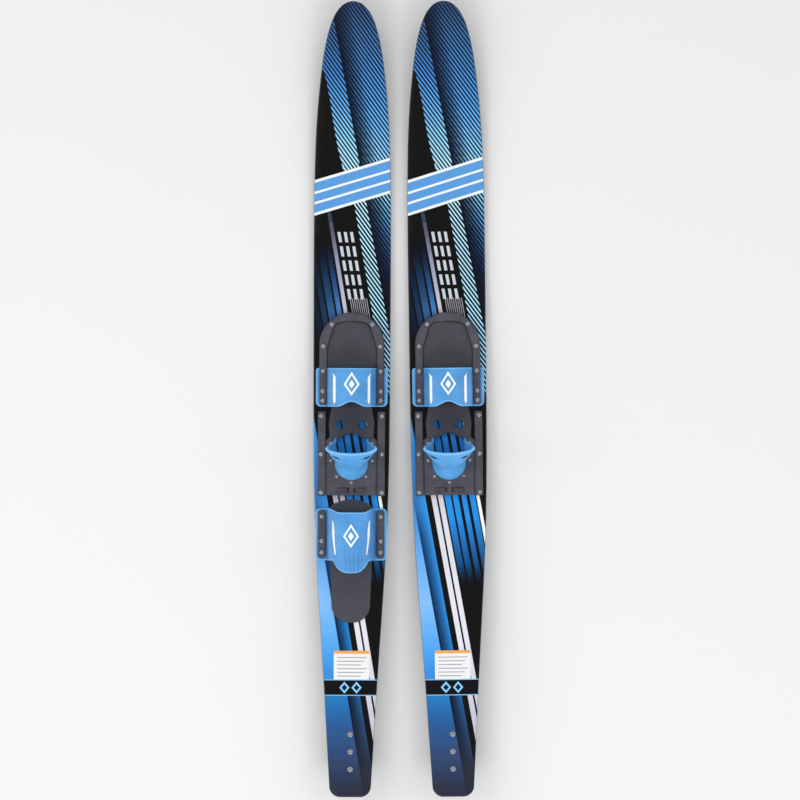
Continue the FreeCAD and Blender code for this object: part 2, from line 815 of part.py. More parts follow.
def build_toe_piece(ski, where):
    side, front, rear = size("toe_flap_half_width"), size("toe_front"), size("toe_rear")
    plan = rounded(
        [
            (-side, front, 4.0),
            (-side, rear, 9.0),
            (-30.0, rear, 14.0),
            (-14.0, -0.5, 18.0),
            (14.0, -0.5, 18.0),
            (30.0, rear, 14.0),
            (side, rear, 9.0),
            (side, front, 4.0),
        ]
    )
    stations = [
        (front + 8.0, size("toe_height_front") - 2.0),
        (30.0, (size("toe_height_front") + size("toe_height_rear")) / 2),
        (rear - 8.0, size("toe_height_rear") + 1.0),
    ]
    screws = [(x, y) for x, y in both_sides(FRAME_SCREWS) if y < front]
    flap = (rear, front, side)
    half = size("toe_arch_half_width")
    made = toe_shell(f"{ski}_toe_piece", plan, stations, half, flap, screws)
    keep(made, f"{ski}_toe_piece", where)


def build_front_pad(ski, where):
    """The foam pad under the forefoot, inside the horseshoe and under the toe piece."""
    pad = Moulding(f"{ski}_front_foot_pad")
    pad.pad(rounded(frame_opening(0.6)), "blank_thickness", "pad_thickness")
    end, narrow = size("front_pad_end"), size("toe_arch_half_width") - size("rubber_thickness") - 0.7
    top = "blank_thickness + pad_thickness + 1"
    pad.pocket(rectangle(-60.0, -60.0, 60.0, end), top, "pad_thickness + 2")
    for side in (-1, 1):
        strip = rectangle(side * narrow, -61.0, side * 61.0, size("toe_front") + 1.5)
        pad.pocket(strip, top, "pad_thickness + 2")
    pad.soften("Chamfer", 1.0, at_height(deck() + size("pad_thickness")))
    keep(pad.body, f"{ski}_front_foot_pad", where)


# ---------------------------------------------------------------- heel slide


def build_rails(ski, where):
    """Two side rails with a groove for the heel plate's tongues and seven lock notches."""
    inner, outer = size("rail_inner"), size("rail_outer")
    for side, word in ((-1, "left"), (1, "right")):
        rail = Moulding(f"{ski}_heel_rail_{word}")
        ends = sorted((side * inner, side * outer))
        plan = rectangle(ends[0], size("rail_rear"), ends[1], size("rail_front"), 3.0)
        rail.pad(plan, "blank_thickness", "rail_height")
        rail.soften("Chamfer", 1.8, at_height(deck() + size("rail_height")))
        groove = rectangle(side * (inner - 5.0), -300.0, side * size("groove_floor"), 0.0)
        level = "blank_thickness + groove_bottom"
        rail.pocket(groove, level, "groove_height", Reversed=True)
        notches = []
        for step in range(int(size("notch_count"))):
            y = size("lock_line") + step * size("notch_pitch")
            half = size("notch_width") / 2
            deep = size("groove_floor") + size("notch_depth")
            notches += rectangle(side * (size("groove_floor") - 1.0), y - half, side * deep, y + half)
        rail.pocket(notches, level, "groove_height", Reversed=True)
        holes = [(x, y) for x, y in rail_screws() if x * side > 0]
        top = "blank_thickness + rail_height + 1"
        rail.pocket(circles(holes, size("screw_clearance")), top, "rail_height + 2")
        keep(rail.body, f"{ski}_heel_rail_{word}", where)
    spots = [(x, y, deck() + size("rail_height")) for x, y in rail_screws()]
    keep(binding_screws(f"{ski}_rail_screws", spots), f"{ski}_rail_screws", where)


def cup_opening(grow, front):
    """The U that the heel cup stands in, grown outwards, from its open front round the heel."""
    half, centre = size("cup_half_width") + grow, size("cup_centre")
    left, right = flat(-half, front), flat(half, front)
    low_left, low_right = flat(-half, centre), flat(half, centre)
    return [
        Part.LineSegment(right, left),
        Part.LineSegment(left, low_left),
        Part.Arc(low_left, flat(0, centre - half), low_right),
        Part.LineSegment(low_right, right),
    ]


def lock_spots():
    return [(side * size("lock_tab_centre"), size("lock_line")) for side in (-1, 1)]


def pad_outline(shrink):
    """Plan of the heel pad: two round lobes at the back with a shallow arch between them."""
    front, lobe, arch_top = size("apron_front") - shrink, -81.5 + shrink, -71.5 + shrink
    return rounded(
        [
            (-40.0 + shrink, front, 3.0),
            (-49.2 + shrink, -50.0, 60.0),
            (-46.5 + shrink, lobe, 13.0),
            (-22.0, lobe, 12.0),
            (-10.0, arch_top, 12.0),
            (10.0, arch_top, 12.0),
            (22.0, lobe, 12.0),
            (46.5 - shrink, lobe, 13.0),
            (49.2 - shrink, -50.0, 60.0),
            (40.0 - shrink, front, 3.0),
        ]
    )


def eyes():
    return both_sides([(size("eye_x"), size("eye_y"))])


def build_heel_plate(ski, where):
    """The sliding plate: it clamps the heel cup, carries the heel pad and houses the lock slides."""
    half, front, rear = size("heel_plate_half_width"), size("heel_plate_front"), size("heel_plate_rear")
    plate = Moulding(f"{ski}_heel_plate")
    bottom = "blank_thickness + heel_plate_bottom"
    top = "blank_thickness + heel_plate_top"
    plate.pad(rectangle(-half, rear, half, front, 3.0), bottom, "heel_plate_top - heel_plate_bottom")
    plate.soften("Fillet", 1.2, at_height(deck() + size("heel_plate_top")))
    tongue = size("tongue_half_width")
    strips = rectangle(-tongue, rear + 2.0, tongue, front - 2.0)
    level = "blank_thickness + groove_bottom + tongue_gap"
    plate.pad(strips, level, "groove_height - tongue_gap * 2")
    apron = pad_outline(0.0)
    plate.pad(apron, "blank_thickness + apron_bottom", "apron_thickness")
    arms = rectangle(-47.0, front - 2.0, -38.0, front + 12.0)
    arms += rectangle(38.0, front - 2.0, 47.0, front + 12.0)
    plate.pad(arms, "blank_thickness + apron_bottom", "apron_thickness")
    plate.pocket(circles(eyes(), size("eye_radius")), top, "heel_plate_top")
    above = "blank_thickness + heel_plate_top + 1"
    plate.pocket(cup_opening(0.8, front + 1.4), above, "heel_plate_top + 1")
    seat = "flange_top - heel_plate_bottom + 0.1"
    plate.pocket(cup_opening(13.3, front + 1.0), bottom, seat, Reversed=True)
    line, bar = size("lock_line"), size("lock_bar_width") / 2 + 0.3
    channel = rectangle(-70.0, line - bar, 70.0, line + bar)
    plate.pocket(channel, bottom, "3.2", Reversed=True)
    chamber = rectangle(-14.0, line - bar, 14.0, line + bar)
    plate.pocket(chamber, bottom, "5.2", Reversed=True)
    slots = []
    for x, y in lock_spots():
        reach, wide = size("lock_tab_length") / 2, size("lock_tab_width") / 2
        travel = size("lock_travel") + 0.5
        inward = x - math.copysign(reach + travel, x)
        outward = x + math.copysign(reach + 0.5, x)
        slots += rectangle(min(inward, outward), y - wide - 0.5, max(inward, outward), y + wide + 0.5, 2.0)
    plate.pocket(slots, above, "5")
    plate.pocket(circles(cup_rivets(), size("rivet_radius") + 0.05), above, "heel_plate_top + 1")
    keep(plate.body, f"{ski}_heel_plate", where)

    backing = Moulding(f"{ski}_heel_backing")
    low = "blank_thickness + backing_bottom"
    thick = "heel_plate_bottom - backing_bottom"
    backing.pad(rectangle(-half + 0.5, rear + 0.5, half - 0.5, front, 3.0), low, thick)
    backing.pocket(cup_opening(-3.0, front + 1.0), top, "heel_plate_top + 1")
    backing.pocket(circles(cup_rivets(), size("rivet_radius") + 0.05), top, "heel_plate_top + 1")
    keep(backing.body, f"{ski}_heel_backing_plate", where)

    pad = Moulding(f"{ski}_heel_pad")
    level = "blank_thickness + apron_bottom + apron_thickness"
    pad.pad(pad_outline(0.3), level, "heel_pad_thickness")
    edge = deck() + size("apron_bottom") + size("apron_thickness") + size("heel_pad_thickness")
    pad.soften("Chamfer", 1.0, at_height(edge))
    pad.pocket(circles(eyes(), size("eye_radius")), "blank_thickness * 2", "blank_thickness")
    keep(pad.body, f"{ski}_heel_pad", where)

    rivets = screw_group(
        f"{ski}_heel_rivets",
        [(x, y, deck() + size("heel_plate_top")) for x, y in cup_rivets()],
        size("rivet_head_radius"),
        size("rivet_head_height"),
        size("rivet_radius"),
        deck() + size("backing_bottom") + 0.2,
    )
    keep(rivets, f"{ski}_heel_rivets", where)


def bow(width, front, straight, reach):
    """A smooth U that runs back from front by a straight length, then round half an ellipse."""
    dense, steps = 240, 16
    outline = [flat(width, front), flat(width, front - straight / 2)]
    for i in range(dense + 1):
        angle = math.pi * i / dense
        outline.append(flat(width * math.cos(angle), front - straight - reach * math.sin(angle)))
    outline += [flat(-width, front - straight / 2), flat(-width, front)]
    path = Part.makePolygon([p for p, q in zip(outline, outline[1:]) if (p - q).Length > 1e-6] + outline[-1:])
    return smooth(path.discretize(Number=steps + 1))


def cup_band(level, half_width, front, straight, reach):
    """One level slice of the heel cup's wall, open to the front."""
    wall = size("rubber_thickness")
    outer = bow(half_width, front, straight, reach)
    inner = bow(half_width - wall, front, straight, reach - wall)
    ends = [
        Part.LineSegment(outer.EndPoint, inner.EndPoint),
        Part.LineSegment(inner.StartPoint, outer.StartPoint),
    ]
    edges = [curve.toShape() for curve in [outer, inner] + ends]
    ring = Part.Wire(Part.__sortEdges__(edges))
    ring.translate(Vector(0, 0, level))
    return ring


def opening_face(grow, front):
    edges = [edge.toShape() for edge in cup_opening(grow, front)]
    return Part.Face(Part.Wire(Part.__sortEdges__(edges)))


def build_heel_cup(ski, where):
    """The rubber cup: its wall leans forward from a U round the heel to a broad, nearly straight rim."""
    foot, height, half = deck() + size("heel_plate_bottom"), size("cup_height"), size("cup_half_width")
    front, heel = size("heel_plate_front") - 1.0, size("cup_centre") - half
    bands = [
        cup_band(foot, half, front, front - heel - half, half),
        cup_band(foot + 8.0, half, front, front - heel - half, half),
        cup_band(foot + 0.35 * height, half + 0.5, front - 5.0, 22.0, 44.0),
        cup_band(foot + 0.65 * height, half + 10.0, front - 12.0, 14.0, 30.0),
        cup_band(foot + 0.88 * height, half + 15.5, front - 15.5, 6.0, 18.0),
        cup_band(foot + height, half + 18.5, front - 17.0, 2.0, 12.0),
    ]
    wall = Part.makeLoft(bands, True)
    flange = opening_face(13.0, front + 3.0).cut(opening_face(-3.0, front + 4.0))
    flange = flange.extrude(Vector(0, 0, size("flange_top") - size("heel_plate_bottom")))
    flange.translate(Vector(0, 0, foot))
    radius = size("rivet_radius") + 0.05
    holes = [Part.makeCylinder(radius, 20.0, Vector(x, y, deck())) for x, y in cup_rivets()]
    cup = wall.fuse(flange).cut(Part.makeCompound(holes)).removeSplitter()
    keep(fixed_shape(f"{ski}_heel_cup", cup), f"{ski}_heel_cup", where)


def build_locks(ski, where):
    """Two lock slides pinched together against one spring; each has a tooth for its rail."""
    line, bar = size("lock_line"), size("lock_bar_width")
    tongue_bottom = "blank_thickness + heel_plate_bottom + 0.2"
    tooth_end = size("groove_floor") + size("notch_depth") - 0.6
    for side, word in ((-1, "left"), (1, "right")):
        slide = Moulding(f"{ski}_lock_slide_{word}")
        reach = size("tongue_half_width") - 1.0
        slide.pad(rectangle(side * 8.0, line - bar / 2, side * reach, line + bar / 2), tongue_bottom, "2.8")
        tooth = rectangle(side * (reach - 1.0), line - 2.5, side * tooth_end, line + 2.5)
        slide.pad(tooth, tongue_bottom, "2.8")
        slide.pad(rectangle(side * 8.0, line - bar / 2, side * 9.8, line + bar / 2), tongue_bottom, "4.8")
        tab = rectangle(
            side * (size("lock_tab_centre") - size("lock_tab_length") / 2),
            line - size("lock_tab_width") / 2,
            side * (size("lock_tab_centre") + size("lock_tab_length") / 2),
            line + size("lock_tab_width") / 2,
            1.6,
        )
        slide.pad(tab, "blank_thickness + heel_plate_bottom + 3.0", "6.1")
        slide.soften("Fillet", 0.8, at_height(deck() + size("heel_plate_bottom") + 9.1))
        keep(slide.body, f"{ski}_lock_slide_{word}", where)

    height = 2 * (size("spring_half_length") - size("spring_wire"))
    helix = Part.makeHelix(height / 7.0, height, size("spring_radius"))
    start = Vector(size("spring_radius"), 0, 0)
    wire = Part.Wire(Part.makeCircle(size("spring_wire"), start, Vector(0, 1, 0)))
    coil = Part.Wire(helix.Edges).makePipeShell([wire], True, True)
    middle = deck() + size("heel_plate_bottom") + 2.6
    coil.Placement = Placement(Vector(-height / 2, line, middle), Rotation(Vector(0, 1, 0), 90))
    spring = fixed_shape(f"{ski}_lock_spring", Part.makeCompound([coil]))
    keep(spring, f"{ski}_lock_spring", where)


# ---------------------------------------------------------------- rear toe piece


def build_rear_toe(ski, where):
    """The second toe piece behind the heel, its clamp bars, screws and foot pad."""
    side, front, end = size("rear_flap_half_width"), size("rear_front"), size("rear_flap_end")
    tongue, tip = size("rear_tongue_half_width"), size("rear_tongue_end")
    plan = rounded(
        [
            (-side, front, 8.0),
            (-side, end, 8.0),
            (-tongue - 1.0, end, 5.0),
            (-tongue, tip, 33.0),
            (tongue, tip, 33.0),
            (tongue + 1.0, end, 5.0),
            (side, end, 8.0),
            (side, front, 8.0),
            (46.0, front, 12.0),
            (30.0, front - 8.5, 30.0),
            (-30.0, front - 8.5, 30.0),
            (-46.0, front, 12.0),
        ]
    )
    stations = [
        (front + 8.0, size("rear_height_front") - 2.0),
        ((front + tip) / 2, (size("rear_height_front") + size("rear_height_rear")) / 2),
        (tip - 8.0, size("rear_height_rear") + 2.0),
    ]
    screws = rear_clamp_screws()
    flap = (end, front, side)
    half = size("rear_arch_half_width")
    made = toe_shell("rear_toe_piece", plan, stations, half, flap, screws)
    keep(made, "rear_toe_piece", where)

    inner, outer = size("clamp_inner"), size("clamp_outer")
    for sign, word in ((-1, "left"), (1, "right")):
        bar = Moulding(f"rear_clamp_bar_{word}")
        ends = sorted((sign * inner, sign * outer))
        bar.pad(
            rectangle(ends[0], end + 3.0, ends[1], front - 3.0, 7.0),
            "blank_thickness + flap_thickness",
            "clamp_height",
        )
        bar.soften("Chamfer", 1.5, at_height(deck() + size("flap_thickness") + size("clamp_height")))
        holes = [(x, y) for x, y in screws if x * sign > 0]
        bar.pocket(circles(holes, size("screw_clearance")), "blank_thickness * 2", "blank_thickness")
        keep(bar.body, f"rear_clamp_bar_{word}", where)
    seat = deck() + size("flap_thickness") + size("clamp_height")
    spots = [(x, y, seat) for x, y in screws]
    keep(binding_screws("rear_clamp_screws", spots), "rear_clamp_screws", where)

    pad = Moulding("rear_foot_pad")
    top, low = size("rear_pad_front"), size("rear_pad_end")
    plan = rounded(
        [
            (-46.5, -225.0, 18.0),
            (-46.2, -300.0, 400.0),
            (-40.0, low, 38.0),
            (40.0, low, 38.0),
            (46.2, -300.0, 400.0),
            (46.5, -225.0, 18.0),
            (0.0, top + 5.0, 60.0),
        ]
    )
    pad.pad(plan, "blank_thickness", "rear_pad_thickness")
    pad.soften("Chamfer", 1.0, at_height(deck() + size("rear_pad_thickness")))
    keep(pad.body, "rear_foot_pad", where)


# ---------------------------------------------------------------- the pair


def build_ski(ski, where, with_rear_toe):
    spots = both_sides(FRAME_SCREWS) + rail_screws()
    if with_rear_toe:
        spots = spots + rear_clamp_screws()
    blank = build_blank(ski, where, spots)
    build_fin(ski, where, blank)
    build_horseshoe(ski, where)
    build_toe_piece(ski, where)
    build_front_pad(ski, where)
    build_rails(ski, where)
    build_heel_plate(ski, where)
    build_heel_cup(ski, where)
    build_locks(ski, where)
    if with_rear_toe:
        build_rear_toe(ski, where)


def centring_shift():
    """How far back the pair moves so that its origin is midway between its two ends."""
    turn = Rotation(Vector(1, 0, 0), -math.degrees(rest_angle()))
    half = size("ski_length") / 2
    tip = turn.multVec(Vector(0, half, size("tip_rise") + size("tip_thickness"))).y
    tail = turn.multVec(Vector(0, -half, size("tail_thinning"))).y
    return -(tip + tail) / 2


def check_and_write():
    """Stops on any failed object, then writes one STEP file for each sub-part."""
    for thing in doc.Objects:
        if {"Invalid", "Error"} & set(thing.State):
            raise RuntimeError(f"{thing.Name} failed: {thing.State}")
    os.makedirs("parts", exist_ok=True)
    for thing in parts:
        shape = thing.Shape
        if shape.isNull() or not shape.isValid() or not shape.Solids:
            raise RuntimeError(f"{thing.Label} has no valid solid")
        shape.exportStep(f"parts/{thing.Label}.step")
        print(f"{thing.Label}: {len(shape.Solids)} solids, {shape.Volume / 1000:.1f} cm3")


def main():
    half_gap, shift = size("ski_spacing") / 2, centring_shift()
    build_ski("left", rest_placement(-half_gap, shift), True)
    build_ski("right", rest_placement(half_gap, shift), False)
    doc.recompute()
    check_and_write()
    print(f"rest angle {math.degrees(rest_angle()):.4f} degrees, shift {shift:.3f} mm")
    print(f"lift {rest_placement(half_gap, shift).Base.z:.3f} mm")


main()
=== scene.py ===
"""Looks of a pair of combination water skis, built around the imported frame.

Everything is shaped in the skis' own frames, in millimetres (x across, y towards the tip, z up from
the running surface), and ski_frame() carries it to where each ski lies.
"""

import json
import math

import bmesh
import bpy
from mathutils import Matrix, Vector


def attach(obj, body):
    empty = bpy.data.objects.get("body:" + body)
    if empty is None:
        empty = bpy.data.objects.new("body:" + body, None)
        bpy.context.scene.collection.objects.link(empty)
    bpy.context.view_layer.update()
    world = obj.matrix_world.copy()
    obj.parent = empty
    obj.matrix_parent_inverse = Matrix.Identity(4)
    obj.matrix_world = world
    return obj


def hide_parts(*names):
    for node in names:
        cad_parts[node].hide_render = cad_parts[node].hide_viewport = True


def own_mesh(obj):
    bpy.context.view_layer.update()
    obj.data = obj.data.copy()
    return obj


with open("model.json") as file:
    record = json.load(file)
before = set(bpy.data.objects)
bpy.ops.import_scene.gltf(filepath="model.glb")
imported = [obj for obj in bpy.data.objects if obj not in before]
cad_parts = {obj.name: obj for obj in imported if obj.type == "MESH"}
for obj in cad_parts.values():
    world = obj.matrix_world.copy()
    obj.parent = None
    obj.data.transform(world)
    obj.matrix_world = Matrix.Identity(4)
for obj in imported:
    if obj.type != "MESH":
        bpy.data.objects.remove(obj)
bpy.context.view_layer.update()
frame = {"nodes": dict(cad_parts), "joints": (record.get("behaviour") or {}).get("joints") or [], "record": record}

SKIS = ("left", "right")
DECK = 20.0  # height of the deck above the running surface
MOUNT_X = 55.0  # x of the base_flat mount in a ski's own frame
MERGE = 0.0005  # cuts closer than this to a corner use that corner
WELD = 0.005  # corners of a CAD mesh closer than this are one
SHEET_WELD = 0.12  # the same, for a sheet cut along its print
FACING_UP = 0.3  # faces of a top have a normal with more z than this

# ---------------------------------------------------------------- frames and helpers


def ski_frame(ski):
    """Matrix from a ski's own frame, in millimetres, to the row frame, in metres."""
    slide = next(j for j in frame["joints"] if j["name"] == f"{ski}_heel_slide")
    mount = next(m for m in frame["record"]["mounts"] if m["name"] == f"{ski}_base_flat")
    lock = next(j for j in frame["joints"] if j["name"] == f"{ski}_lock_left_slide")
    across, along = Vector(lock["axis"]).normalized(), Vector(slide["axis"]).normalized()
    turn = Matrix((across, along, across.cross(along))).transposed().to_4x4()
    foot = Vector(mount["pos_m"]) - across * MOUNT_X / 1000
    return Matrix.Translation(foot) @ turn @ Matrix.Scale(0.001, 4)


FRAMES = {ski: ski_frame(ski) for ski in SKIS}


def lerp(a, b, t):
    return a + (b - a) * t


def blend_at(stops, at):
    """Piecewise linear value of stops, a list of (position, tuple), at a position."""
    if at <= stops[0][0]:
        return stops[0][1]
    for (a, va), (b, vb) in zip(stops, stops[1:]):
        if at <= b:
            t = (at - a) / (b - a)
            return tuple(lerp(p, q, t) for p, q in zip(va, vb))
    return stops[-1][1]


def inside(outline, x, y):
    """Whether a point is inside a polygon."""
    hit = False
    for (x0, y0), (x1, y1) in zip(outline, outline[1:] + outline[:1]):
        if (y0 > y) != (y1 > y) and x < (x1 - x0) * (y - y0) / (y1 - y0) + x0:
            hit = not hit
    return hit


def near_segment(x, y, a, b, reach):
    """Whether a point lies within reach of a segment."""
    run = (b[0] - a[0], b[1] - a[1])
    length = run[0] ** 2 + run[1] ** 2
    t = max(0.0, min(1.0, ((x - a[0]) * run[0] + (y - a[1]) * run[1]) / length))
    return math.hypot(x - a[0] - t * run[0], y - a[1] - t * run[1]) < reach


def geometry_of(faces):
    """Faces with their edges and corners, as the mesh operators take them."""
    edges = dict.fromkeys(e for f in faces for e in f.edges)
    verts = dict.fromkeys(v for f in faces for v in f.verts)
    return [*faces, *edges, *verts]


def slice_all(bm, geom, point, normal):
    """Cuts geometry with a plane and returns it with what the cut adds."""
    cut = bmesh.ops.bisect_plane(bm, geom=geom, dist=MERGE, plane_co=point, plane_no=normal)
    return cut["geom"]


def bisect(bm, faces, point, normal):
    """Cuts faces with a plane."""
    slice_all(bm, geometry_of(faces), point, normal)


def add_object(name, mesh, materials, ski, body):
    """Links a mesh that is in a ski's frame as a piece that rides on a body."""
    mesh.transform(FRAMES[ski])
    mesh.update()
    obj = bpy.data.objects.new(name, mesh)
    bpy.context.scene.collection.objects.link(obj)
    for material in materials:
        if obj.data.materials.find(material.name) < 0:
            obj.data.materials.append(material)
    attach(obj, body)
    return obj


def shade(obj, angle=35.0):
    """Smooth shading that keeps edges sharper than the angle."""
    for polygon in obj.data.polygons:
        polygon.use_smooth = True
    obj.data.set_sharp_from_angle(angle=math.radians(angle))


# ---------------------------------------------------------------- materials


def srgb(*levels):
    """Linear colour from 8-bit display levels."""
    out = []
    for level in levels:
        c = level / 255
        out.append(c / 12.92 if c <= 0.04045 else ((c + 0.055) / 1.055) ** 2.4)
    return (*out, 1.0)


def base_material(name, colour, roughness, metallic=0.0, coat=0.0, coat_roughness=0.1):
    """A Principled material; returns it with its tree and shader for adding detail."""
    made = bpy.data.materials.new(name)
    made.use_nodes = True
    tree = made.node_tree
    shader = tree.nodes["Principled BSDF"]
    shader.inputs["Base Color"].default_value = colour
    shader.inputs["Roughness"].default_value = roughness
    shader.inputs["Metallic"].default_value = metallic
    shader.inputs["Coat Weight"].default_value = coat
    shader.inputs["Coat Roughness"].default_value = coat_roughness
    return made, tree, shader


def coordinates(tree, scale=(1000.0, 1000.0, 1000.0), turn=(0.0, 0.0, 0.0)):
    """Object coordinates in millimetres."""
    where = tree.nodes.new("ShaderNodeTexCoord")
    mapping = tree.nodes.new("ShaderNodeMapping")
    mapping.inputs["Scale"].default_value = scale
    mapping.inputs["Rotation"].default_value = turn
    tree.links.new(where.outputs["Object"], mapping.inputs["Vector"])
    return mapping.outputs["Vector"]


def noise(tree, vector, scale, detail=3.0):
    made = tree.nodes.new("ShaderNodeTexNoise")
    made.inputs["Scale"].default_value = scale
    made.inputs["Detail"].default_value = detail
    tree.links.new(vector, made.inputs["Vector"])
    return made.outputs["Fac"]


def bump(tree, shader, height, strength, distance=0.0005):
    made = tree.nodes.new("ShaderNodeBump")
    made.inputs["Strength"].default_value = strength
    made.inputs["Distance"].default_value = distance
    tree.links.new(height, made.inputs["Height"])
    tree.links.new(made.outputs["Normal"], shader.inputs["Normal"])


def vary(tree, source, socket, low, high):
    """Drives a number socket between two values by a 0 to 1 source."""
    made = tree.nodes.new("ShaderNodeMapRange")
    made.inputs["From Min"].default_value = 0.3
    made.inputs["From Max"].default_value = 0.7
    made.inputs["To Min"].default_value = low
    made.inputs["To Max"].default_value = high
    tree.links.new(source, made.inputs["Value"])
    tree.links.new(made.outputs["Result"], socket)


def vary_colour(tree, source, socket, low, high):
    """Mixes two colours by a 0 to 1 source."""
    ramp = tree.nodes.new("ShaderNodeValToRGB")
    ramp.color_ramp.elements[0].position = 0.3
    ramp.color_ramp.elements[1].position = 0.7
    ramp.color_ramp.elements[0].color = low
    ramp.color_ramp.elements[1].color = high
    tree.links.new(source, ramp.inputs["Fac"])
    tree.links.new(ramp.outputs["Color"], socket)


def moulded(name, low, high, roughness):
    """Grained moulded plastic whose colour wanders a little."""
    made, tree, shader = base_material(name, low, roughness)
    where = coordinates(tree)
    vary_colour(tree, noise(tree, where, 0.05), shader.inputs["Base Color"], low, high)
    grain = noise(tree, where, 1.6, 4.0)
    vary(tree, grain, shader.inputs["Roughness"], roughness - 0.06, roughness + 0.08)
    bump(tree, shader, grain, 0.35, 0.0002)
    return made


def metal(name, colour, roughness):
    """Polished or brushed metal with fine scratches."""
    made, tree, shader = base_material(name, colour, roughness, metallic=1.0)
    fine = noise(tree, coordinates(tree, (900.0, 120.0, 900.0)), 1.2, 4.0)
    vary(tree, fine, shader.inputs["Roughness"], roughness - 0.05, roughness + 0.1)
    bump(tree, shader, fine, 0.12, 0.0001)
    return made


def rubber(name, low, high):
    """Satin sheet rubber with a soft bloom."""
    made, tree, shader = base_material(name, low, 0.42, coat=0.15, coat_roughness=0.35)
    where = coordinates(tree)
    vary_colour(tree, noise(tree, where, 0.03), shader.inputs["Base Color"], low, high)
    fine = noise(tree, where, 0.9, 5.0)
    vary(tree, fine, shader.inputs["Roughness"], 0.36, 0.48)
    bump(tree, shader, fine, 0.15, 0.0002)
    return made


def foam(name, low, high):
    """Closed-cell foam."""
    made, tree, shader = base_material(name, low, 0.85)
    where = coordinates(tree)
    cells = noise(tree, where, 1.4, 6.0)
    vary_colour(tree, cells, shader.inputs["Base Color"], low, high)
    bump(tree, shader, cells, 0.5, 0.0003)
    return made


def plain_print(name, colour):
    """Ink under gloss: one flat colour with the faint ripple of a lacquered top sheet."""
    made, tree, shader = base_material(name, colour, 0.32, coat=0.1, coat_roughness=0.06)
    shader.inputs["Specular IOR Level"].default_value = 0.15
    bump(tree, shader, noise(tree, coordinates(tree), 0.06, 2.0), 0.04, 0.001)
    return made


BLACK_PLASTIC = moulded("black plastic", srgb(57, 56, 65), srgb(73, 71, 82), 0.5)
RAIL_PLASTIC = moulded("rail plastic", srgb(58, 57, 66), srgb(74, 72, 82), 0.45)
LOCK_PLASTIC = moulded("lock plastic", srgb(52, 50, 56), srgb(66, 63, 70), 0.4)
FIN_PLASTIC = moulded("fin plastic", srgb(26, 27, 31), srgb(38, 39, 44), 0.45)
SHELL = moulded("base gelcoat", srgb(20, 24, 36), srgb(27, 32, 46), 0.25)
CORE = foam("core composite", srgb(190, 170, 120), srgb(205, 186, 138))
STEEL = metal("stainless steel", srgb(190, 191, 196), 0.2)
SPRING_STEEL = metal("spring steel", srgb(160, 160, 165), 0.3)
BRASS = metal("brass", srgb(200, 165, 90), 0.3)
RUBBER = rubber("blue rubber", srgb(64, 138, 202), srgb(80, 156, 220))
CUP_RUBBER = rubber("blue cup rubber", srgb(80, 158, 220), srgb(96, 174, 236))
# A lighter blue than the rubber sheet, for the rolled beads and flange loops: a painted highlight.
RUBBER_HIGHLIGHT = rubber("blue rubber painted highlight", srgb(100, 176, 232), srgb(116, 188, 240))
# A dark blue painted over the cup's slots where shade would fall: painted shade.
RUBBER_PAINTED_SHADE = rubber("blue rubber painted shade", srgb(16, 38, 66), srgb(20, 46, 78))
RUBBER_PRINT = rubber("white rubber print", srgb(238, 244, 250), srgb(246, 249, 252))
FOAM = foam("foot pad foam", srgb(49, 49, 57), srgb(75, 75, 85))


def finish_node(node, material):
    """Gives a CAD node that is shown its material."""
    mesh = frame["nodes"][node].data
    mesh.materials.clear()
    mesh.materials.append(material)


def finish_cad_nodes():
    kinds = {
        "_core": CORE,
        "_base_shell": SHELL,
        "_binding_inserts": BRASS,
        "_fin_inserts": BRASS,
        "_fin": FIN_PLASTIC,
        "_fin_washers": STEEL,
        "_fin_screws": STEEL,
        "_horseshoe_frame": BLACK_PLASTIC,
        "_frame_screws": STEEL,
        "_heel_rail_left": RAIL_PLASTIC,
        "_heel_rail_right": RAIL_PLASTIC,
        "_rail_screws": STEEL,
        "_heel_plate": BLACK_PLASTIC,
        "_heel_backing_plate": BLACK_PLASTIC,
        "_heel_rivets": STEEL,
        "_lock_slide_left": LOCK_PLASTIC,
        "_lock_slide_right": LOCK_PLASTIC,
    }
    for ski in SKIS:
        for ending, material in kinds.items():
            finish_node(ski + ending, material)
    for side in SKIS:
        finish_node(f"rear_clamp_bar_{side}", BLACK_PLASTIC)
    finish_node("rear_clamp_screws", STEEL)


# ---------------------------------------------------------------- flat painting


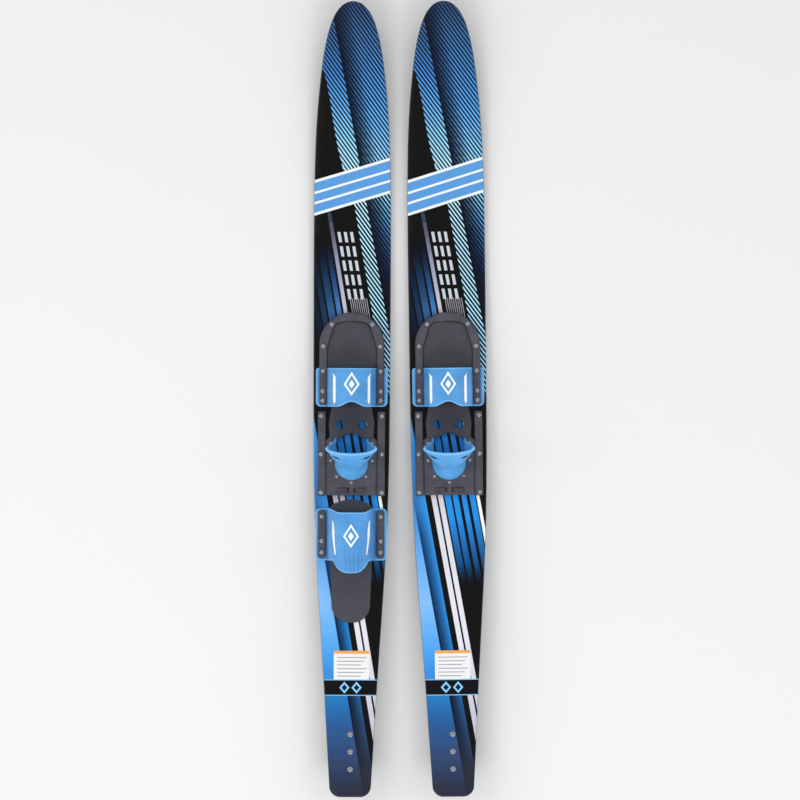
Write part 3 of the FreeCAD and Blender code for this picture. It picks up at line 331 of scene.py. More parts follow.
class Artwork:
    """A mesh with flat coordinates x and y that is cut along outlines and painted face by face."""

    def __init__(self, bm, cell):
        self.bm = bm
        self.reach = cell * 0.8 + 1.0
        self.shapes = []

    def top_faces(self):
        return [f for f in self.bm.faces if f.normal.z > FACING_UP]

    def grid(self, step):
        """Cuts the top into small cells, so that later cuts stay local."""
        faces = self.top_faces()
        low = [min(v.co[i] for f in faces for v in f.verts) for i in (0, 1)]
        high = [max(v.co[i] for f in faces for v in f.verts) for i in (0, 1)]
        for axis, normal in ((0, Vector((1, 0, 0))), (1, Vector((0, 1, 0)))):
            at = math.ceil(low[axis] / step) * step
            while at < high[axis]:
                point = Vector((at, 0, 0)) if axis == 0 else Vector((0, at, 0))
                bisect(self.bm, self.top_faces(), point, normal)
                at += step

    def rows(self, low, high, step):
        """More cuts across, where a colour changes quickly along the ski."""
        for i in range(round((high - low) / step)):
            bisect(self.bm, self.top_faces(), Vector((0, low + i * step, 0)), Vector((0, 1, 0)))

    def middles(self):
        return [(f, f.calc_center_median()) for f in self.top_faces()]

    def paint(self, outline, colour):
        """Cuts along a polygon's sides; colour is a name or a function of x and y that gives one."""
        for a, b in zip(outline, outline[1:] + outline[:1]):
            chosen = [f for f, c in self.middles() if near_segment(c.x, c.y, a, b, self.reach)]
            normal = Vector((b[1] - a[1], a[0] - b[0], 0)).normalized()
            if chosen:
                bisect(self.bm, chosen, Vector((a[0], a[1], 0)), normal)
        self.shapes.append((outline, colour))

    def hatch(self, outline, normal, pitch, share):
        """Cuts a polygon's faces along both sides of evenly spaced parallel lines."""
        faces = [f for f, c in self.middles() if inside(outline, c.x, c.y)]
        reach = [v.co.x * normal.x + v.co.y * normal.y for f in faces for v in f.verts]
        first, last = math.floor(min(reach) / pitch), math.ceil(max(reach) / pitch)
        geom = geometry_of(faces)
        for step in range(first, last + 1):
            for offset in (0.0, share):
                point = normal * (step + offset) * pitch
                geom = slice_all(self.bm, geom, point, normal)

    def finish(self, slots, ground):
        """Gives every face the slot of the last outline that holds its middle."""
        boxes = []
        for outline, colour in self.shapes:
            xs, ys = [p[0] for p in outline], [p[1] for p in outline]
            boxes.append((min(xs), max(xs), min(ys), max(ys), outline, colour))
        for face in self.bm.faces:
            face.material_index = slots(ground)
        for face, middle in self.middles():
            x, y = middle.x, middle.y
            for x0, x1, y0, y1, outline, colour in reversed(boxes):
                if x0 <= x <= x1 and y0 <= y <= y1 and inside(outline, x, y):
                    face.material_index = slots(colour(x, y) if callable(colour) else colour)
                    break


# ---------------------------------------------------------------- the printed deck

TILT = 0.17
HATCH_NORMAL = Vector((0.81, 0.587, 0.0)).normalized()
HATCH_PITCH = 6.7
HATCH_SHARE = 0.53
STRIP_SHARE = 0.42
NIGHT = (4, 9, 30)
BLACK = (9, 10, 15)
WHITE = (246, 248, 252)
SILVER = (196, 197, 212)
SKY = (94, 158, 226)
INK_STEP = 5
LAMP_GAIN = 1.12
GLOSS_LIFT = 0.008
DECK_CELL = 20.0
FADES = ((-830.0, 0.0, 20.0), (110.0, 350.0, 20.0), (-404.0, -290.0, 6.0))
WIDE = 90.0  # beyond the edge of a ski
TAIL = -860.0  # beyond its tail


def slanted(v, y):
    """x of a point on a slanted band line at y; v names the line by its x at mid length."""
    return v - TILT * y


def band(v0, v1, y0, y1):
    """A slanted band between two lines and two heights."""
    return [(slanted(v0, y0), y0), (slanted(v1, y0), y0), (slanted(v1, y1), y1), (slanted(v0, y1), y1)]


def hatched(shade_at, share=HATCH_SHARE):
    """Colour function of a hatched field: dark lines on shade_at(x, y)."""

    def colour(x, y):
        phase = (x * HATCH_NORMAL.x + y * HATCH_NORMAL.y) / HATCH_PITCH
        return shade_at(x, y) if phase - math.floor(phase) < share else NIGHT

    return colour


FIELD_LEFT = [
    (14, (120, 190, 232)),
    (130, (170, 226, 250)),
    (480, (196, 238, 255)),
    (560, (150, 215, 252)),
    (640, (92, 168, 236)),
    (700, (68, 134, 206)),
    (780, (58, 104, 160)),
]
FIELD_RIGHT = [
    (170, (10, 16, 34)),
    (250, (30, 52, 92)),
    (310, (52, 100, 168)),
    (390, (96, 176, 236)),
    (440, (150, 220, 252)),
    (480, (176, 230, 255)),
    (540, (134, 204, 250)),
    (620, (92, 166, 236)),
    (700, (74, 138, 206)),
    (780, (66, 112, 168)),
    (850, (48, 78, 120)),
]


def left_field(x, y):
    return blend_at(FIELD_LEFT, y)


def right_field(x, y):
    """The field right of the long dark edge: dark beside it, and clear 40 mm further on."""
    full = blend_at(FIELD_RIGHT, y)
    t = max(0.0, min(1.0, (x + 0.1815 * y - 106.3) / 42.0))
    return tuple(lerp(a, b, t) for a, b in zip((12, 24, 46), full))


def fading(colours):
    """Colour function from stops along the ski."""
    return lambda x, y: blend_at(colours, y)


WEDGE = [
    (-840, (48, 52, 68)),
    (-760, (54, 76, 116)),
    (-700, (48, 92, 150)),
    (-640, (45, 121, 190)),
    (-560, (70, 158, 236)),
    (-440, (134, 194, 252)),
    (-340, (110, 178, 244)),
    (-240, (72, 146, 220)),
    (-120, (48, 112, 186)),
    (-60, (40, 84, 140)),
]


PALE_STRIPES = [
    (-700, SILVER),
    (-500, (232, 232, 242)),
    (-260, (224, 223, 234)),
    (-90, (190, 188, 204)),
]


BAND_LEFT = -114.5
BAND_BRIGHT = [
    (-800, (46, 50, 64)),
    (-700, (44, 76, 120)),
    (-600, (44, 116, 188)),
    (-480, (48, 142, 220)),
    (-200, (66, 158, 238)),
]
BAND_DARK = [
    (-800, (44, 47, 60)),
    (-640, (18, 24, 38)),
    (-300, (24, 56, 100)),
    (-200, (58, 122, 196)),
]


def second_band(x, y):
    """The band beside the wedge: dark on its left, blue on its right, darkening to the tail."""
    t = max(0.0, min(1.0, (x + TILT * y - BAND_LEFT) / 27.0))
    bright, dark = blend_at(BAND_BRIGHT, y), blend_at(BAND_DARK, y)
    return tuple(lerp(a, b, t) for a, b in zip(dark, bright))


def stripe_blue(x, y):
    stops = [(-400, BLACK), (-352, (30, 80, 134)), (-300, (40, 114, 186)), (-250, (44, 146, 232))]
    return blend_at(stops, y)


def fan_blue(strength):
    """Colour function of one blue of the fan, which fades out towards the tip."""
    stops = [(190, (72, 130, 194)), (250, (44, 82, 132)), (330, (16, 22, 36))]

    def colour(x, y):
        return tuple(lerp(low, high, strength) for low, high in zip(BLACK, blend_at(stops, y)))

    return colour


def fan_silver(x, y):
    return blend_at([(190, (206, 204, 220)), (300, (150, 154, 178)), (400, (52, 58, 76))], y)


def draw_tip(art):
    edge_top, edge_low = (-43.0, 822.0), (27.0, 437.0)
    left_rim = [(-66.5, 712.0), (-57.0, 683.0), (-47.6, 634.6)]
    left_rim += [(-41.0, 590.0), (-32.0, 540.0), (-22.0, 500.0)]
    corner = (-12.0, 460.0)
    left = [edge_top, edge_low, corner] + left_rim[::-1] + [(-WIDE, 760.0), (-WIDE, 860.0)]
    right = [edge_top, edge_low, (WIDE, 437.0), (WIDE, 860.0), (-50.0, 860.0)]
    art.paint(right, hatched(right_field))
    art.paint(left, hatched(left_field))


def crossing(low, high):
    """A straight band across the whole deck that rises to the right; heights are at its left end."""
    left, right = 392.0, 446.0
    lower = [(-WIDE, left + low), (WIDE, right + low)]
    return lower + [(WIDE, right + high), (-WIDE, left + high)]


def draw_crossing_bands(art):
    """Plain parallel bands across the deck, where its tip and its middle meet."""
    art.paint(crossing(0.0, 76.0), WHITE)
    art.paint(crossing(6.0, 70.0), SKY)
    for low in (24.0, 46.0):
        art.paint(crossing(low, low + 5.0), WHITE)


def draw_middle(art):
    top, low = 460.0, 10.0
    strip = [(slanted(75.0, top), top), (WIDE, top), (WIDE, low), (slanted(75.0, low), low)]
    edge = [(22.8, top), (WIDE, top), (WIDE, 90.0)]
    art.paint(strip, hatched(left_field, STRIP_SHARE))
    art.paint(edge, hatched(right_field, STRIP_SHARE))
    art.paint(band(14.3, 22.3, 405.0, 150.0), fan_silver)
    fan = ((-0.5, 9.4, 1.0), (-19.2, -5.0, 0.72), (-34.0, -23.2, 0.42), (-48.6, -38.0, 0.22))
    for v0, v1, strength in fan:
        art.paint(band(v0, v1, 335.0, 100.0), fan_blue(strength))
    for i in range(5):
        y = 360.0 - 30.5 * i
        for k in range(3):
            x = slanted(29.0, y) + 13.4 * k
            art.paint([(x, y), (x + 6.4, y), (x + 10.2, y - 22.0), (x + 3.8, y - 22.0)], (206, 208, 222))
    for i in range(9):
        v = 32.0 + 4.4 * i
        art.paint(band(v, v + 1.5, 218.0, 176.0), (168, 170, 180))


def draw_tail(art):
    wedge = [(-WIDE, -20.0), (slanted(BAND_LEFT, -20.0), -20.0)]
    wedge += [(slanted(BAND_LEFT, TAIL), TAIL), (-WIDE, TAIL)]
    art.paint(wedge, fading(WEDGE))
    slices, slice_width = 6, 4.5
    for i in range(slices):
        left = BAND_LEFT + slice_width * i
        art.paint(band(left, left + slice_width, -20.0, TAIL), second_band)
    for v0, v1 in ((-75.0, -64.0), (-60.0, -49.5)):
        art.paint(band(v0, v1, -90.0, TAIL), fading(PALE_STRIPES))
    for v0, v1 in ((-46.0, -32.7), (-28.7, -16.7), (-10.0, 0.7), (7.4, 19.4)):
        art.paint(band(v0, v1, -30.0, -402.0), stripe_blue)
    art.paint(band(22.1, 28.8, -30.0, -330.0), WHITE)


def draw_label(art):
    """A blank sticker with a coloured head and ruled lines, above the size band."""
    left, right, head, top = -36.0, 40.0, -537.0, -598.5
    art.paint([(left, head), (right, head), (right, top), (left, top)], (238, 238, 241))
    art.paint([(left, head), (right, head), (right, head - 6.5), (left, head - 6.5)], (240, 170, 92))
    for i in range(6):
        y = -550.5 - 8.0 * i
        end = 34.0 - 6.0 * (i % 3)
        art.paint([(-29.0, y), (end, y), (end, y - 1.8), (-29.0, y - 1.8)], (150, 156, 170))
    low = -633.5
    art.paint([(-WIDE, top), (WIDE, top), (WIDE, low), (-WIDE, low)], (10, 17, 32))
    for y in (top, low + 2.0):
        art.paint([(-WIDE, y), (WIDE, y), (WIDE, y - 2.0), (-WIDE, y - 2.0)], (128, 190, 236))
    for side in (-1, 1):
        for outer, colour in ((11.0, (142, 208, 250)), (6.2, (14, 32, 62))):
            x, y = side * 13.0, (top + low) / 2
            tall = outer * 1.15
            art.paint([(x - outer, y), (x, y + tall), (x + outer, y), (x, y - tall)], colour)


def build_deck(ski):
    """The deck sheet, cut from a copy of the CAD sheet along the artwork's lines."""
    source = frame["nodes"][f"{ski}_deck_sheet"]
    bm = bmesh.new()
    bm.from_mesh(source.data)
    bm.transform(FRAMES[ski].inverted())
    bmesh.ops.remove_doubles(bm, verts=bm.verts, dist=WELD)
    bm.normal_update()
    art = Artwork(bm, DECK_CELL)
    art.grid(DECK_CELL)
    for low, high, step in FADES:
        art.rows(low, high, step)
    draw_tip(art)
    draw_middle(art)
    draw_crossing_bands(art)
    draw_tail(art)
    draw_label(art)
    hatch_zones = (
        [(-70.0, 860.0), (90.0, 860.0), (90.0, 470.0), (0.0, 460.0), (-46.0, 560.0), (-70.0, 720.0)],
        [(-8.0, 470.0), (90.0, 490.0), (90.0, 8.0), (60.0, 8.0), (8.0, 386.0)],
    )
    for zone, share in zip(hatch_zones, (HATCH_SHARE, STRIP_SHARE)):
        art.hatch(zone, HATCH_NORMAL, HATCH_PITCH, share)
    inks = {}

    def slot_of(colour):
        rounded = tuple(int(round(level / INK_STEP) * INK_STEP) for level in colour)
        return inks.setdefault(rounded, len(inks))

    bm.normal_update()
    art.finish(slot_of, BLACK)
    mesh = bpy.data.meshes.new(f"{ski}_deck_print")
    bm.to_mesh(mesh)
    bm.free()
    for colour in inks:
        mesh.materials.append(ink(colour))
    deck = add_object(f"{ski}_deck_print", mesh, [], ski, f"{ski}_ski")
    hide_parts(f"{ski}_deck_sheet")
    shade(deck)


def ink(colour):
    """The printed material of one colour, made once."""
    name = "ink %d %d %d" % colour
    found = bpy.data.materials.get(name)
    seen = srgb(*(max(0, min(255, level)) for level in colour))
    printed = [max(0.001, part / LAMP_GAIN - GLOSS_LIFT) for part in seen[:3]]
    return found or plain_print(name, (*printed, 1.0))


# ---------------------------------------------------------------- soft pieces

# The third slot holds beads painted a lighter blue as a highlight; the fourth holds patches painted dark as shade.
PLAIN, PRINTED, HIGHLIGHT_EDGE, PAINTED_SHADE = range(4)
SHEET_CELL = 3.0


def rounded(corners, turn=7.5):
    """Points of a closed polygon of (x, y, radius) corners with its corners rounded."""
    out = []
    for i, (x, y, radius) in enumerate(corners):
        here = Vector((x, y))
        before = (Vector(corners[i - 1][:2]) - here).normalized()
        after = (Vector(corners[(i + 1) % len(corners)][:2]) - here).normalized()
        half = math.acos(max(-1.0, min(1.0, before.dot(after)))) / 2
        if radius <= 0 or half > math.radians(89.5):
            out.append((x, y))
            continue
        centre = here + (before + after).normalized() * radius / math.sin(half)
        start = here + before * radius / math.tan(half) - centre
        sweep = math.pi - 2 * half
        sign = 1 if before.x * after.y - before.y * after.x < 0 else -1
        steps = max(2, round(math.degrees(sweep) / turn))
        for k in range(steps + 1):
            angle = sign * sweep * k / steps
            out.append(
                (
                    centre.x + start.x * math.cos(angle) - start.y * math.sin(angle),
                    centre.y + start.x * math.sin(angle) + start.y * math.cos(angle),
                )
            )
    return out


def mirrored(half):
    """A closed outline of (x, y, radius) corners from its half with x at or below zero."""
    return half + [(-x, y, radius) for x, y, radius in reversed(half)]


def flat_grid(columns, rows):
    """A flat sheet of cells between sorted column and row positions."""
    bm = bmesh.new()
    verts = [[bm.verts.new((x, y, 0.0)) for x in columns] for y in rows]
    for j in range(len(rows) - 1):
        for i in range(len(columns) - 1):
            bm.faces.new((verts[j][i], verts[j][i + 1], verts[j + 1][i + 1], verts[j + 1][i]))
    bm.normal_update()
    return bm


def spread(low, high, step, fixed=()):
    """Positions from low to high about step apart that pass through the fixed ones."""
    stops = sorted({low, high, *fixed})
    out = [stops[0]]
    for a, b in zip(stops, stops[1:]):
        count = max(1, round((b - a) / step))
        out += [lerp(a, b, k / count) for k in range(1, count + 1)]
    return out


def trim(art, outline):
    """Cuts a flat sheet to an outline."""
    art.paint(outline, PLAIN)
    art.shapes.pop()
    gone = [f for f, c in art.middles() if not inside(outline, c.x, c.y)]
    bmesh.ops.delete(art.bm, geom=gone, context="FACES")


def thicken(bm, thickness, lining):
    """Gives an open sheet its thickness: a lining below it with one slot, and a rim."""
    bm.normal_update()
    faces, rim = list(bm.faces), [e for e in bm.edges if e.is_boundary]
    below = {}
    for v in list(bm.verts):
        below[v] = bm.verts.new(v.co - v.normal * thickness * min(1.6, v.calc_shell_factor()))
    sides = [(e.link_loops[0].vert, e.link_loops[0].link_loop_next.vert) for e in rim]
    for face in faces:
        made = bm.faces.new([below[v] for v in reversed(face.verts)])
        made.material_index = lining
    for a, b in sides:
        made = bm.faces.new((b, a, below[a], below[b]))
        made.material_index = lining


def bead(bm, path, ups, radius, slot, closed=True, sides=10):
    """A round bead along a path; ups are directions off the path, one for each point."""
    rings, count = [], len(path)
    for i, (point, up) in enumerate(zip(path, ups)):
        if closed:
            ahead, behind = path[(i + 1) % count], path[i - 1]
        else:
            ahead, behind = path[min(i + 1, count - 1)], path[max(i - 1, 0)]
        along = (ahead - behind).normalized()
        side = along.cross(up).normalized()
        top = side.cross(along)
        size = radius if closed else radius * min(1.0, 0.45 + 0.3 * min(i, count - 1 - i))
        ring = []
        for k in range(sides):
            angle = 2 * math.pi * k / sides
            ring.append(bm.verts.new(point + (side * math.cos(angle) + top * math.sin(angle)) * size))
        rings.append(ring)
    pairs = list(zip(rings, rings[1:])) + ([(rings[-1], rings[0])] if closed else [])
    for a, b in pairs:
        for k in range(sides):
            made = bm.faces.new((a[k], a[(k + 1) % sides], b[(k + 1) % sides], b[k]))
            made.material_index = slot
    if not closed:
        for ring in (rings[0], rings[-1][::-1]):
            bm.faces.new(ring[::-1]).material_index = slot


def every(points, step, closed=True):
    """The points with more put in on long runs, so that no run is longer than step."""
    out = []
    runs = list(zip(points, points[1:] + points[:1])) if closed else list(zip(points, points[1:]))
    for a, b in runs:
        count = max(1, math.ceil(math.dist(a, b) / step))
        out += [tuple(lerp(p, q, k / count) for p, q in zip(a, b)) for k in range(count)]
    return out if closed else out + [tuple(points[-1])]


def swell(at, middle, width):
    """A smooth rise that is 1 at the middle and dies away on both sides."""
    return math.exp(-(((at - middle) / width) ** 2))


def smoothstep(low, high, at):
    t = max(0.0, min(1.0, (at - low) / (high - low)))
    return t * t * (3 - 2 * t)


class Arch:
    """A rubber sheet bent over the foot; flat x runs across the sheet from its crown, in millimetres."""

    POWER = 2 / 2.5
    FLAP = 3.0

    def __init__(self, half_width, stations, relief):
        self.half_width, self.stations, self.relief = half_width, stations, relief
        middle = stations[len(stations) // 2][1]
        self.table, run, last = [], 0.0, None
        for k in range(401):
            angle = math.pi / 2 * (1 - k / 400)
            x = half_width * max(0.0, math.cos(angle)) ** self.POWER
            z = max(0.0, math.sin(angle)) ** self.POWER
            here = (x, (middle - self.FLAP) * z)
            run += math.dist(here, last) if last else 0.0
            self.table.append((run, (x, z)))
            last = here
        self.reach = run

    def flat_x(self, x):
        """How far across the flat sheet a plan x is."""
        if abs(x) >= self.half_width:
            return math.copysign(self.reach + abs(x) - self.half_width, x)
        for run, (at, _) in self.table:
            if at >= abs(x):
                return math.copysign(run, x)
        return math.copysign(self.reach, x)

    def plan(self, outline):
        """A plan outline on the flat sheet."""
        return [(self.flat_x(x), y) for x, y in every(outline, 3.0)]

    def bare(self, p, y):
        top = DECK + self.FLAP
        height = blend_at([(at, (h,)) for at, h in self.stations], y)[0] - self.FLAP
        if abs(p) >= self.reach:
            return Vector((math.copysign(self.half_width + abs(p) - self.reach, p), y, top))
        x, z = blend_at(self.table, abs(p))
        return Vector((math.copysign(x, p), y, top + height * z))

    def normal(self, p, y):
        across = self.bare(p + 0.4, y) - self.bare(p - 0.4, y)
        along = self.bare(p, y + 0.4) - self.bare(p, y - 0.4)
        return across.cross(along).normalized()

    def bent(self, p, y, lift=0.0):
        return self.bare(p, y) + self.normal(p, y) * (lift + self.relief(p, y))


def build_arch(name, arch, outline, marks, ski, node):
    """A rubber toe piece: a flat sheet cut to its outline and marks, bent, thickened and beaded, with the bead
    painted a lighter blue as a highlight.
    """
    flat = arch.plan(outline)
    low = min(p[0] for p in flat), min(p[1] for p in flat)
    high = max(p[0] for p in flat), max(p[1] for p in flat)
    columns = spread(low[0] - 1, high[0] + 1, 2.6, (-arch.reach, 0.0, arch.reach))
    bm = flat_grid(columns, spread(low[1] - 1, high[1] + 1, 3.0))
    art = Artwork(bm, SHEET_CELL)
    trim(art, flat)
    for mark, colour in marks:
        art.paint(arch.plan(mark), colour)
    art.finish(lambda colour: colour, PLAIN)
    bmesh.ops.remove_doubles(bm, verts=bm.verts, dist=SHEET_WELD)
    for v in bm.verts:
        v.co = arch.bent(v.co.x, v.co.y)
    thicken(bm, Arch.FLAP, PLAIN)
    rim = every(flat, 2.0)
    centre = [arch.bent(p, y, -1.45) for p, y in rim]
    # The edge bead is a real rolled rim, painted a lighter blue as a highlight.
    bead(bm, centre, [arch.normal(p, y) for p, y in rim], 1.75, HIGHLIGHT_EDGE)
    mesh = bpy.data.meshes.new(name)
    bm.to_mesh(mesh)
    bm.free()
    obj = add_object(name, mesh, [RUBBER, RUBBER_PRINT, RUBBER_HIGHLIGHT], ski, f"{ski}_ski")
    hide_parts(node)
    shade(obj, 50.0)


def badge(y):
    """A plain pointed badge: an open diamond round a smaller solid one."""
    outer = [(-17.0, y - 26.0), (0.0, y), (17.0, y - 26.0), (0.0, y - 50.0)]
    inner = [(-12.5, y - 26.0), (0.0, y - 7.0), (12.5, y - 26.0), (0.0, y - 43.0)]
    core = [(-6.0, y - 26.0), (0.0, y - 17.0), (6.0, y - 26.0), (0.0, y - 35.0)]
    return [(outer, PRINTED), (inner, PLAIN), (core, PRINTED)]


def build_toe_pieces(ski):
    half = [(-75.0, 67.0, 4.0), (-75.0, -12.5, 9.0)]
    for x in (-33.0, -28.0, -23.0, -18.0, -13.0, -8.0, -3.0):
        half.append((x, -12.5 + 5.5 * (1 + math.cos(math.pi * x / 33.0)), 0.0))
    marks = []
    for side in (-1, 1):
        line = [(41.0, 58.8), (39.0, 51.0), (39.0, -3.0), (36.9, -9.0), (34.4, -3.0), (34.4, 49.0)]
        marks.append(([(side * x, y) for x, y in line], PRINTED))
    marks += badge(60.0)

    def relief(p, y):
        rib = 0.9 * swell(abs(p), 44.0, 5.0) * smoothstep(66.0, 50.0, y)
        return rib - 1.0 * smoothstep(44.0, 8.0, abs(p)) * smoothstep(70.0, 20.0, y)

    stations = [(-21.0, 66.5), (30.0, 58.5), (76.0, 49.5)]
    outline, arch = rounded(mirrored(half)), Arch(52.7, stations, relief)
    build_arch(f"{ski}_rubber_toe", arch, outline, marks, ski, f"{ski}_toe_piece")


def build_rear_toe():
    half = [(-30.0, -241.5, 30.0), (-46.0, -233.5, 12.0), (-74.6, -233.5, 8.0), (-74.6, -341.5, 8.0)]
    half += [(-38.5, -341.5, 5.0), (-36.8, -367.5, 33.0)]
    marks = []
    for side in (-1, 1):
        line = [(40.5, -256.0), (37.6, -262.0), (35.4, -280.0), (35.0, -302.0), (33.0, -329.0)]
        line += [(35.4, -331.0), (38.6, -304.0), (40.4, -282.0), (40.0, -268.0)]
        marks.append(([(side * x, y) for x, y in line], PRINTED))
    marks += badge(-265.0)

    def relief(p, y):
        folds = math.cos((p - 4.0) / 9.4 * 2 * math.pi) * smoothstep(26.0, 14.0, abs(p - 5.0))
        deep = smoothstep(-296.0, -345.0, y)
        sink = -1.2 * smoothstep(40.0, 6.0, abs(p)) * smoothstep(-370.0, -300.0, y)
        return 1.6 * folds * deep - 1.6 * deep + sink

    stations = [(-380.5, 73.5), (-302.75, 61.0), (-225.0, 47.5)]
    outline, arch = rounded(mirrored(half)), Arch(51.7, stations, relief)
    build_arch("left_rubber_rear_toe", arch, outline, marks, "left", "rear_toe_piece")


CUP_LEVELS = [
    (22.6, (36.0, -84.0, 51.0, 36.0)),
    (30.5, (36.0, -84.0, 51.0, 36.0)),
    (53.3, (36.5, -89.0, 22.0, 44.0)),
    (79.7, (46.0, -96.0, 14.0, 30.0)),
    (99.9, (51.5, -99.5, 6.0, 18.0)),
    (107.6, (53.7, -100.6, 3.0, 13.8)),
]


class Cup:
    """The heel cup's outer face: u from -1 to 1 round the heel, and z up."""

    def __init__(self):
        self.levels, self.dense = CUP_LEVELS, {}

    def bow(self, z):
        """Points of one level's U, from its left end round the heel to its right end."""
        key = round(z, 2)
        if key not in self.dense:
            width, front, straight, reach = self.shape(z)
            points = [(-width, front), (-width, front - straight)]
            for k in range(1, 97):
                angle = math.pi * (1 - k / 96)
                points.append((width * math.cos(angle), front - straight - reach * math.sin(angle)))
            points.append((width, front))
            runs = [0.0]
            for a, b in zip(points, points[1:]):
                runs.append(runs[-1] + math.dist(a, b))
            self.dense[key] = [(2 * run / runs[-1] - 1, p) for run, p in zip(runs, points)]
        return self.dense[key]

    def shape(self, z):
        """Half width, front, straight run and reach at a level, on a smooth curve through the levels."""
        levels = self.levels
        k = max(i for i in range(len(levels) - 1) if levels[i][0] <= max(z, levels[0][0]))
        (z1, v1), (z2, v2) = levels[k], levels[k + 1]
        z0, v0 = levels[k - 1] if k else (2 * z1 - z2, v1)
        z3, v3 = levels[k + 2] if k + 2 < len(levels) else (2 * z2 - z1, v2)
        t, out = (z - z1) / (z2 - z1), []
        for a, b, c, d in zip(v0, v1, v2, v3):
            m1 = (c - a) / (z2 - z0) * (z2 - z1)
            m2 = (d - b) / (z3 - z1) * (z2 - z1)
            out.append(
                (2 * t**3 - 3 * t**2 + 1) * b
                + (t**3 - 2 * t**2 + t) * m1
                + (3 * t**2 - 2 * t**3) * c
                + (t**3 - t**2) * m2
            )
        return out

    def bare(self, u, z):
        x, y = blend_at(self.bow(z), u)
        return Vector((x, y, z))

    def normal(self, u, z):
        low, high = max(self.levels[0][0], z - 0.5), min(self.levels[-1][0], z + 0.5)
        across = self.bare(min(1.0, u + 0.01), z) - self.bare(max(-1.0, u - 0.01), z)
        up = self.bare(u, high) - self.bare(u, low)
        return across.cross(up).normalized()

    def bent(self, u, z, lift=0.0):
        at, away = self.bare(u, z), self.normal(u, z)
        side = abs(at.x)
        crease = 1.0 * swell(z, 66.0 - 0.012 * at.x**2, 1.6) * smoothstep(20.0, 10.0, side)
        hollow = -1.2 * swell(z, 60.0, 3.5) * smoothstep(22.0, 10.0, side)
        brow = 1.0 * swell(z, 97.0, 2.6) * smoothstep(0.05, 0.2, abs(u)) * smoothstep(0.75, 0.5, abs(u))
        return at + away * (lift + crease + hollow + brow)


CUP_SPAN = 105.0
CUP_WALL = 3.2
# Outline of a slot in the cup's wall, painted dark as shade rather than cut.
CUP_SLOT_SHADE = [(36.0, 93.5), (50.0, 98.5), (67.0, 97.5), (65.0, 91.5), (50.0, 91.0)]


def build_heel_cup(ski):
    """The rubber heel cup with its two slots painted dark as shade instead of cut, rolled rim, front edges and
    clamped flange; its beads are painted a lighter blue as a highlight.
    """
    cup = Cup()
    low, high = cup.levels[0][0], cup.levels[-1][0]
    bm = flat_grid(spread(-CUP_SPAN, CUP_SPAN, 2.6), spread(low, high, 2.4))
    art = Artwork(bm, SHEET_CELL)
    # The two slots are painted dark as shade; they are not cut through.
    for side in (-1, 1):
        art.paint([(side * x, z) for x, z in CUP_SLOT_SHADE], PAINTED_SHADE)
    art.finish(lambda colour: colour, PLAIN)
    bmesh.ops.remove_doubles(bm, verts=bm.verts, dist=SHEET_WELD)
    for v in bm.verts:
        v.co = cup.bent(v.co.x / CUP_SPAN, v.co.y)
    thicken(bm, CUP_WALL, PLAIN)
    # The rim and front-edge beads are real rolled rubber, painted a lighter blue as a highlight.
    rim = [-1 + 2 * k / 80 for k in range(81)]
    path = [cup.bent(u, high, -1.2) + Vector((0, 0, -0.4)) for u in rim]
    bead(bm, path, [Vector((0, 0, 1))] * len(path), 3.2, HIGHLIGHT_EDGE, closed=False, sides=12)
    for side in (-1, 1):
        levels = spread(low + 1.5, high, 3.0)
        path = [cup.bent(side, z, -1.5) for z in levels]
        bead(bm, path, [Vector((side, 0, 0))] * len(path), 2.1, HIGHLIGHT_EDGE, closed=False)
    build_flange(bm, low)
    mesh = bpy.data.meshes.new(f"{ski}_rubber_cup")
    bm.to_mesh(mesh)
    bm.free()
    looks = [CUP_RUBBER, RUBBER_PRINT, RUBBER_HIGHLIGHT, RUBBER_PAINTED_SHADE]
    obj = add_object(f"{ski}_rubber_cup", mesh, looks, ski, f"{ski}_heel")
    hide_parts(f"{ski}_heel_cup")
    shade(obj, 50.0)


def build_flange(bm, low):
    """The flat flange under the heel plate, with the two small loops that show in front of it, painted a lighter
    blue as a highlight.
    """
    inner, outer, centre, front, thick = 32.9, 48.6, -135.0, -81.5, 2.3
    stops = [math.radians(a) for a in range(180, 361, 6)]
    round_back = [Vector((math.cos(a), math.sin(a), 0)) for a in stops]
    ways = [Vector((-1, 0, 0))] + round_back + [Vector((1, 0, 0))]
    spots = [front] + [centre] * len(stops) + [front]
    rings = []
    for way, y in zip(ways, spots):
        foot = Vector((0, y, low))
        ring = [foot + way * inner, foot + way * outer]
        ring += [ring[1] + Vector((0, 0, thick)), ring[0] + Vector((0, 0, thick))]
        rings.append([bm.verts.new(p) for p in ring])
    for a, b in zip(rings, rings[1:]):
        for k in range(4):
            bm.faces.new((a[k], b[k], b[(k + 1) % 4], a[(k + 1) % 4]))
    bm.faces.new(rings[0])
    bm.faces.new(rings[-1][::-1])
    # The loops take the lighter blue, a painted highlight.
    for side in (-1, 1):
        loop = []
        for k in range(28):
            angle = 2 * math.pi * k / 28
            x, y = side * 39.0 + 6.6 * math.cos(angle), -80.6 + 4.4 * math.sin(angle)
            loop.append(Vector((x, y, low + 1.3)))
        bead(bm, loop, [Vector((0, 0, 1))] * len(loop), 1.25, HIGHLIGHT_EDGE)


def build_spring(ski):
    """The lock spring, a copy of its CAD mesh that rides on the heel; it keeps its length as the lock tabs are
    pinched together.
    """
    node, joint = f"{ski}_lock_spring", f"{ski}_lock_left_slide"
    mesh = frame["nodes"][node].data.copy()
    mesh.transform(FRAMES[ski].inverted())
    mesh.materials.clear()
    obj = add_object(f"{ski}_lock_coil", mesh, [SPRING_STEEL], ski, f"{ski}_heel")
    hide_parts(node)
    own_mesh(obj)


PAD_LEAN = math.radians(-30.0)
PAD_PITCH = 8.0
GROOVE_DEPTH = 0.6
GROOVE_HALF = 0.8


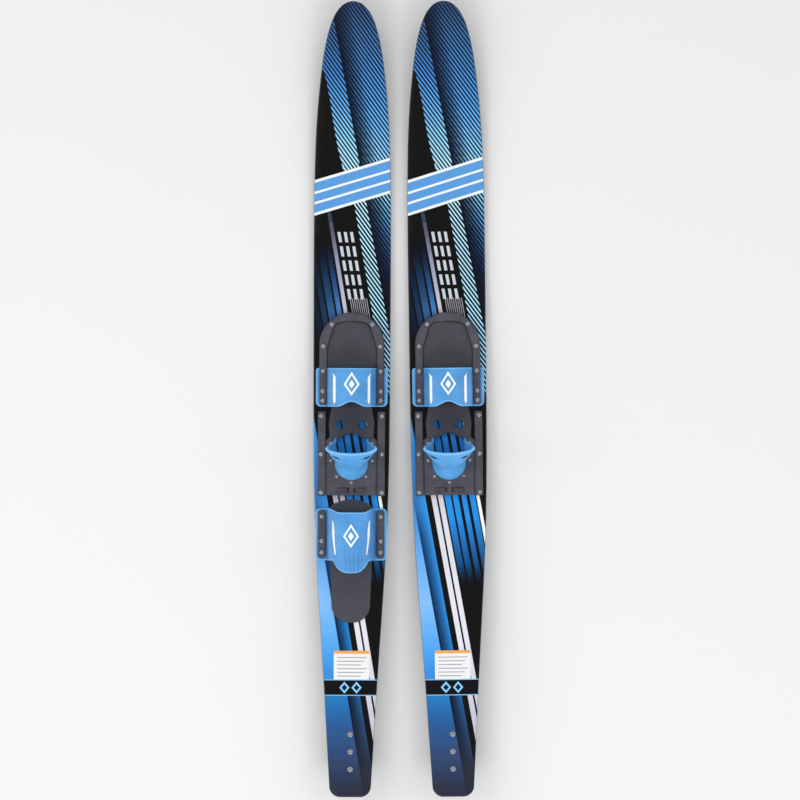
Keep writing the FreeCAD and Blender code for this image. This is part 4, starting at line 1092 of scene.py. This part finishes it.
def build_pad(ski, node, body):
    """A foam foot pad, cut from its CAD solid's shape, with fine slanting grooves across its top."""
    bm = bmesh.new()
    bm.from_mesh(frame["nodes"][node].data)
    bm.transform(FRAMES[ski].inverted())
    bmesh.ops.remove_doubles(bm, verts=bm.verts, dist=WELD)
    bm.normal_update()
    top = max(v.co.z for v in bm.verts)
    art = Artwork(bm, DECK_CELL)
    normal = Vector((-math.sin(PAD_LEAN), math.cos(PAD_LEAN), 0))
    crown = [f for f in bm.faces if f.normal.z > 0.9 and f.calc_center_median().z > top - 0.2]
    geom = geometry_of(crown)
    reach = [v.co.dot(normal) for f in crown for v in f.verts]
    for step in range(math.floor(min(reach) / PAD_PITCH), math.ceil(max(reach) / PAD_PITCH) + 1):
        for offset in (0.0, GROOVE_HALF, 2 * GROOVE_HALF):
            point = normal * (step * PAD_PITCH + offset)
            geom = slice_all(bm, geom, point, normal)
    edge_verts = {v for f in art.top_faces() if f.normal.z < 0.9 for v in f.verts}
    for v in [g for g in geom if isinstance(g, bmesh.types.BMVert)]:
        phase = v.co.dot(normal) / PAD_PITCH
        in_groove = abs((phase - math.floor(phase)) * PAD_PITCH - GROOVE_HALF) < 0.01
        if in_groove and v.co.z > top - 0.01 and v not in edge_verts:
            v.co.z -= GROOVE_DEPTH
    mesh = bpy.data.meshes.new(f"{node}_foam")
    bm.to_mesh(mesh)
    bm.free()
    obj = add_object(f"{node}_foam", mesh, [FOAM], ski, body)
    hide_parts(node)
    shade(obj, 30.0)


# ---------------------------------------------------------------- stage

FIELD_WIDTH = 1714.0
CAMERA_HEIGHT = 20000.0
CAMERA_SHIFT = -0.2
CAMERA_ROLL = math.radians(-0.25)


def build_stage():
    bpy.ops.mesh.primitive_plane_add(size=14.0, location=(0, 0, 0))
    floor = bpy.context.object
    floor.name = "floor"
    floor.data.materials.append(base_material("floor", srgb(228, 228, 229), 0.9)[0])
    world = bpy.context.scene.world or bpy.data.worlds.new("world")
    bpy.context.scene.world = world
    world.use_nodes = True
    world.node_tree.nodes["Background"].inputs["Color"].default_value = (1, 1, 1, 1)
    world.node_tree.nodes["Background"].inputs["Strength"].default_value = 0.45
    for name, place, width, length, power in (
        ("left_softbox", (-2.6, 0.0, 2.4), 1.2, 3.6, 36.0),
        ("right_softbox", (2.8, 0.0, 2.4), 1.2, 3.6, 26.0),
        ("tip_softbox", (0.0, 3.0, 3.0), 4.0, 1.4, 44.0),
        ("tail_softbox", (0.0, -3.0, 3.0), 4.0, 1.4, 84.0),
    ):
        light = bpy.data.lights.new(name, "AREA")
        light.shape = "RECTANGLE"
        light.energy, light.size, light.size_y = power, width, length
        lamp = bpy.data.objects.new(name, light)
        bpy.context.scene.collection.objects.link(lamp)
        lamp.location = place
        lamp.rotation_euler = (-Vector(place)).to_track_quat("-Z", "Y").to_euler()
    bpy.context.scene.view_settings.view_transform = "Standard"


def build_camera():
    """A long lens square above the decks, with the tips at the top of the picture."""
    middle = sum((FRAMES[ski] @ Vector((0, 0, DECK)) for ski in SKIS), Vector()) / 2
    along = sum((FRAMES[ski].col[1].to_3d() for ski in SKIS), Vector()).normalized()
    across = Vector((1, 0, 0))
    turn = Matrix((across, along, across.cross(along))).transposed()
    data = bpy.data.cameras.new("camera")
    data.sensor_width = 36.0
    data.lens = 36.0 * CAMERA_HEIGHT / FIELD_WIDTH
    data.clip_end = 50.0
    camera = bpy.data.objects.new("camera", data)
    bpy.context.scene.collection.objects.link(camera)
    camera.location = middle + turn @ Vector((0, CAMERA_SHIFT, CAMERA_HEIGHT)) / 1000
    camera.rotation_euler = (turn @ Matrix.Rotation(CAMERA_ROLL, 3, "Z")).to_euler()
    bpy.context.scene.camera = camera


finish_cad_nodes()
for ski in SKIS:
    build_deck(ski)
    build_toe_pieces(ski)
    build_heel_cup(ski)
    build_spring(ski)
    build_pad(ski, f"{ski}_front_foot_pad", f"{ski}_ski")
    build_pad(ski, f"{ski}_heel_pad", f"{ski}_heel")
build_rear_toe()
build_pad("left", "rear_foot_pad", "left_ski")
build_stage()
build_camera()
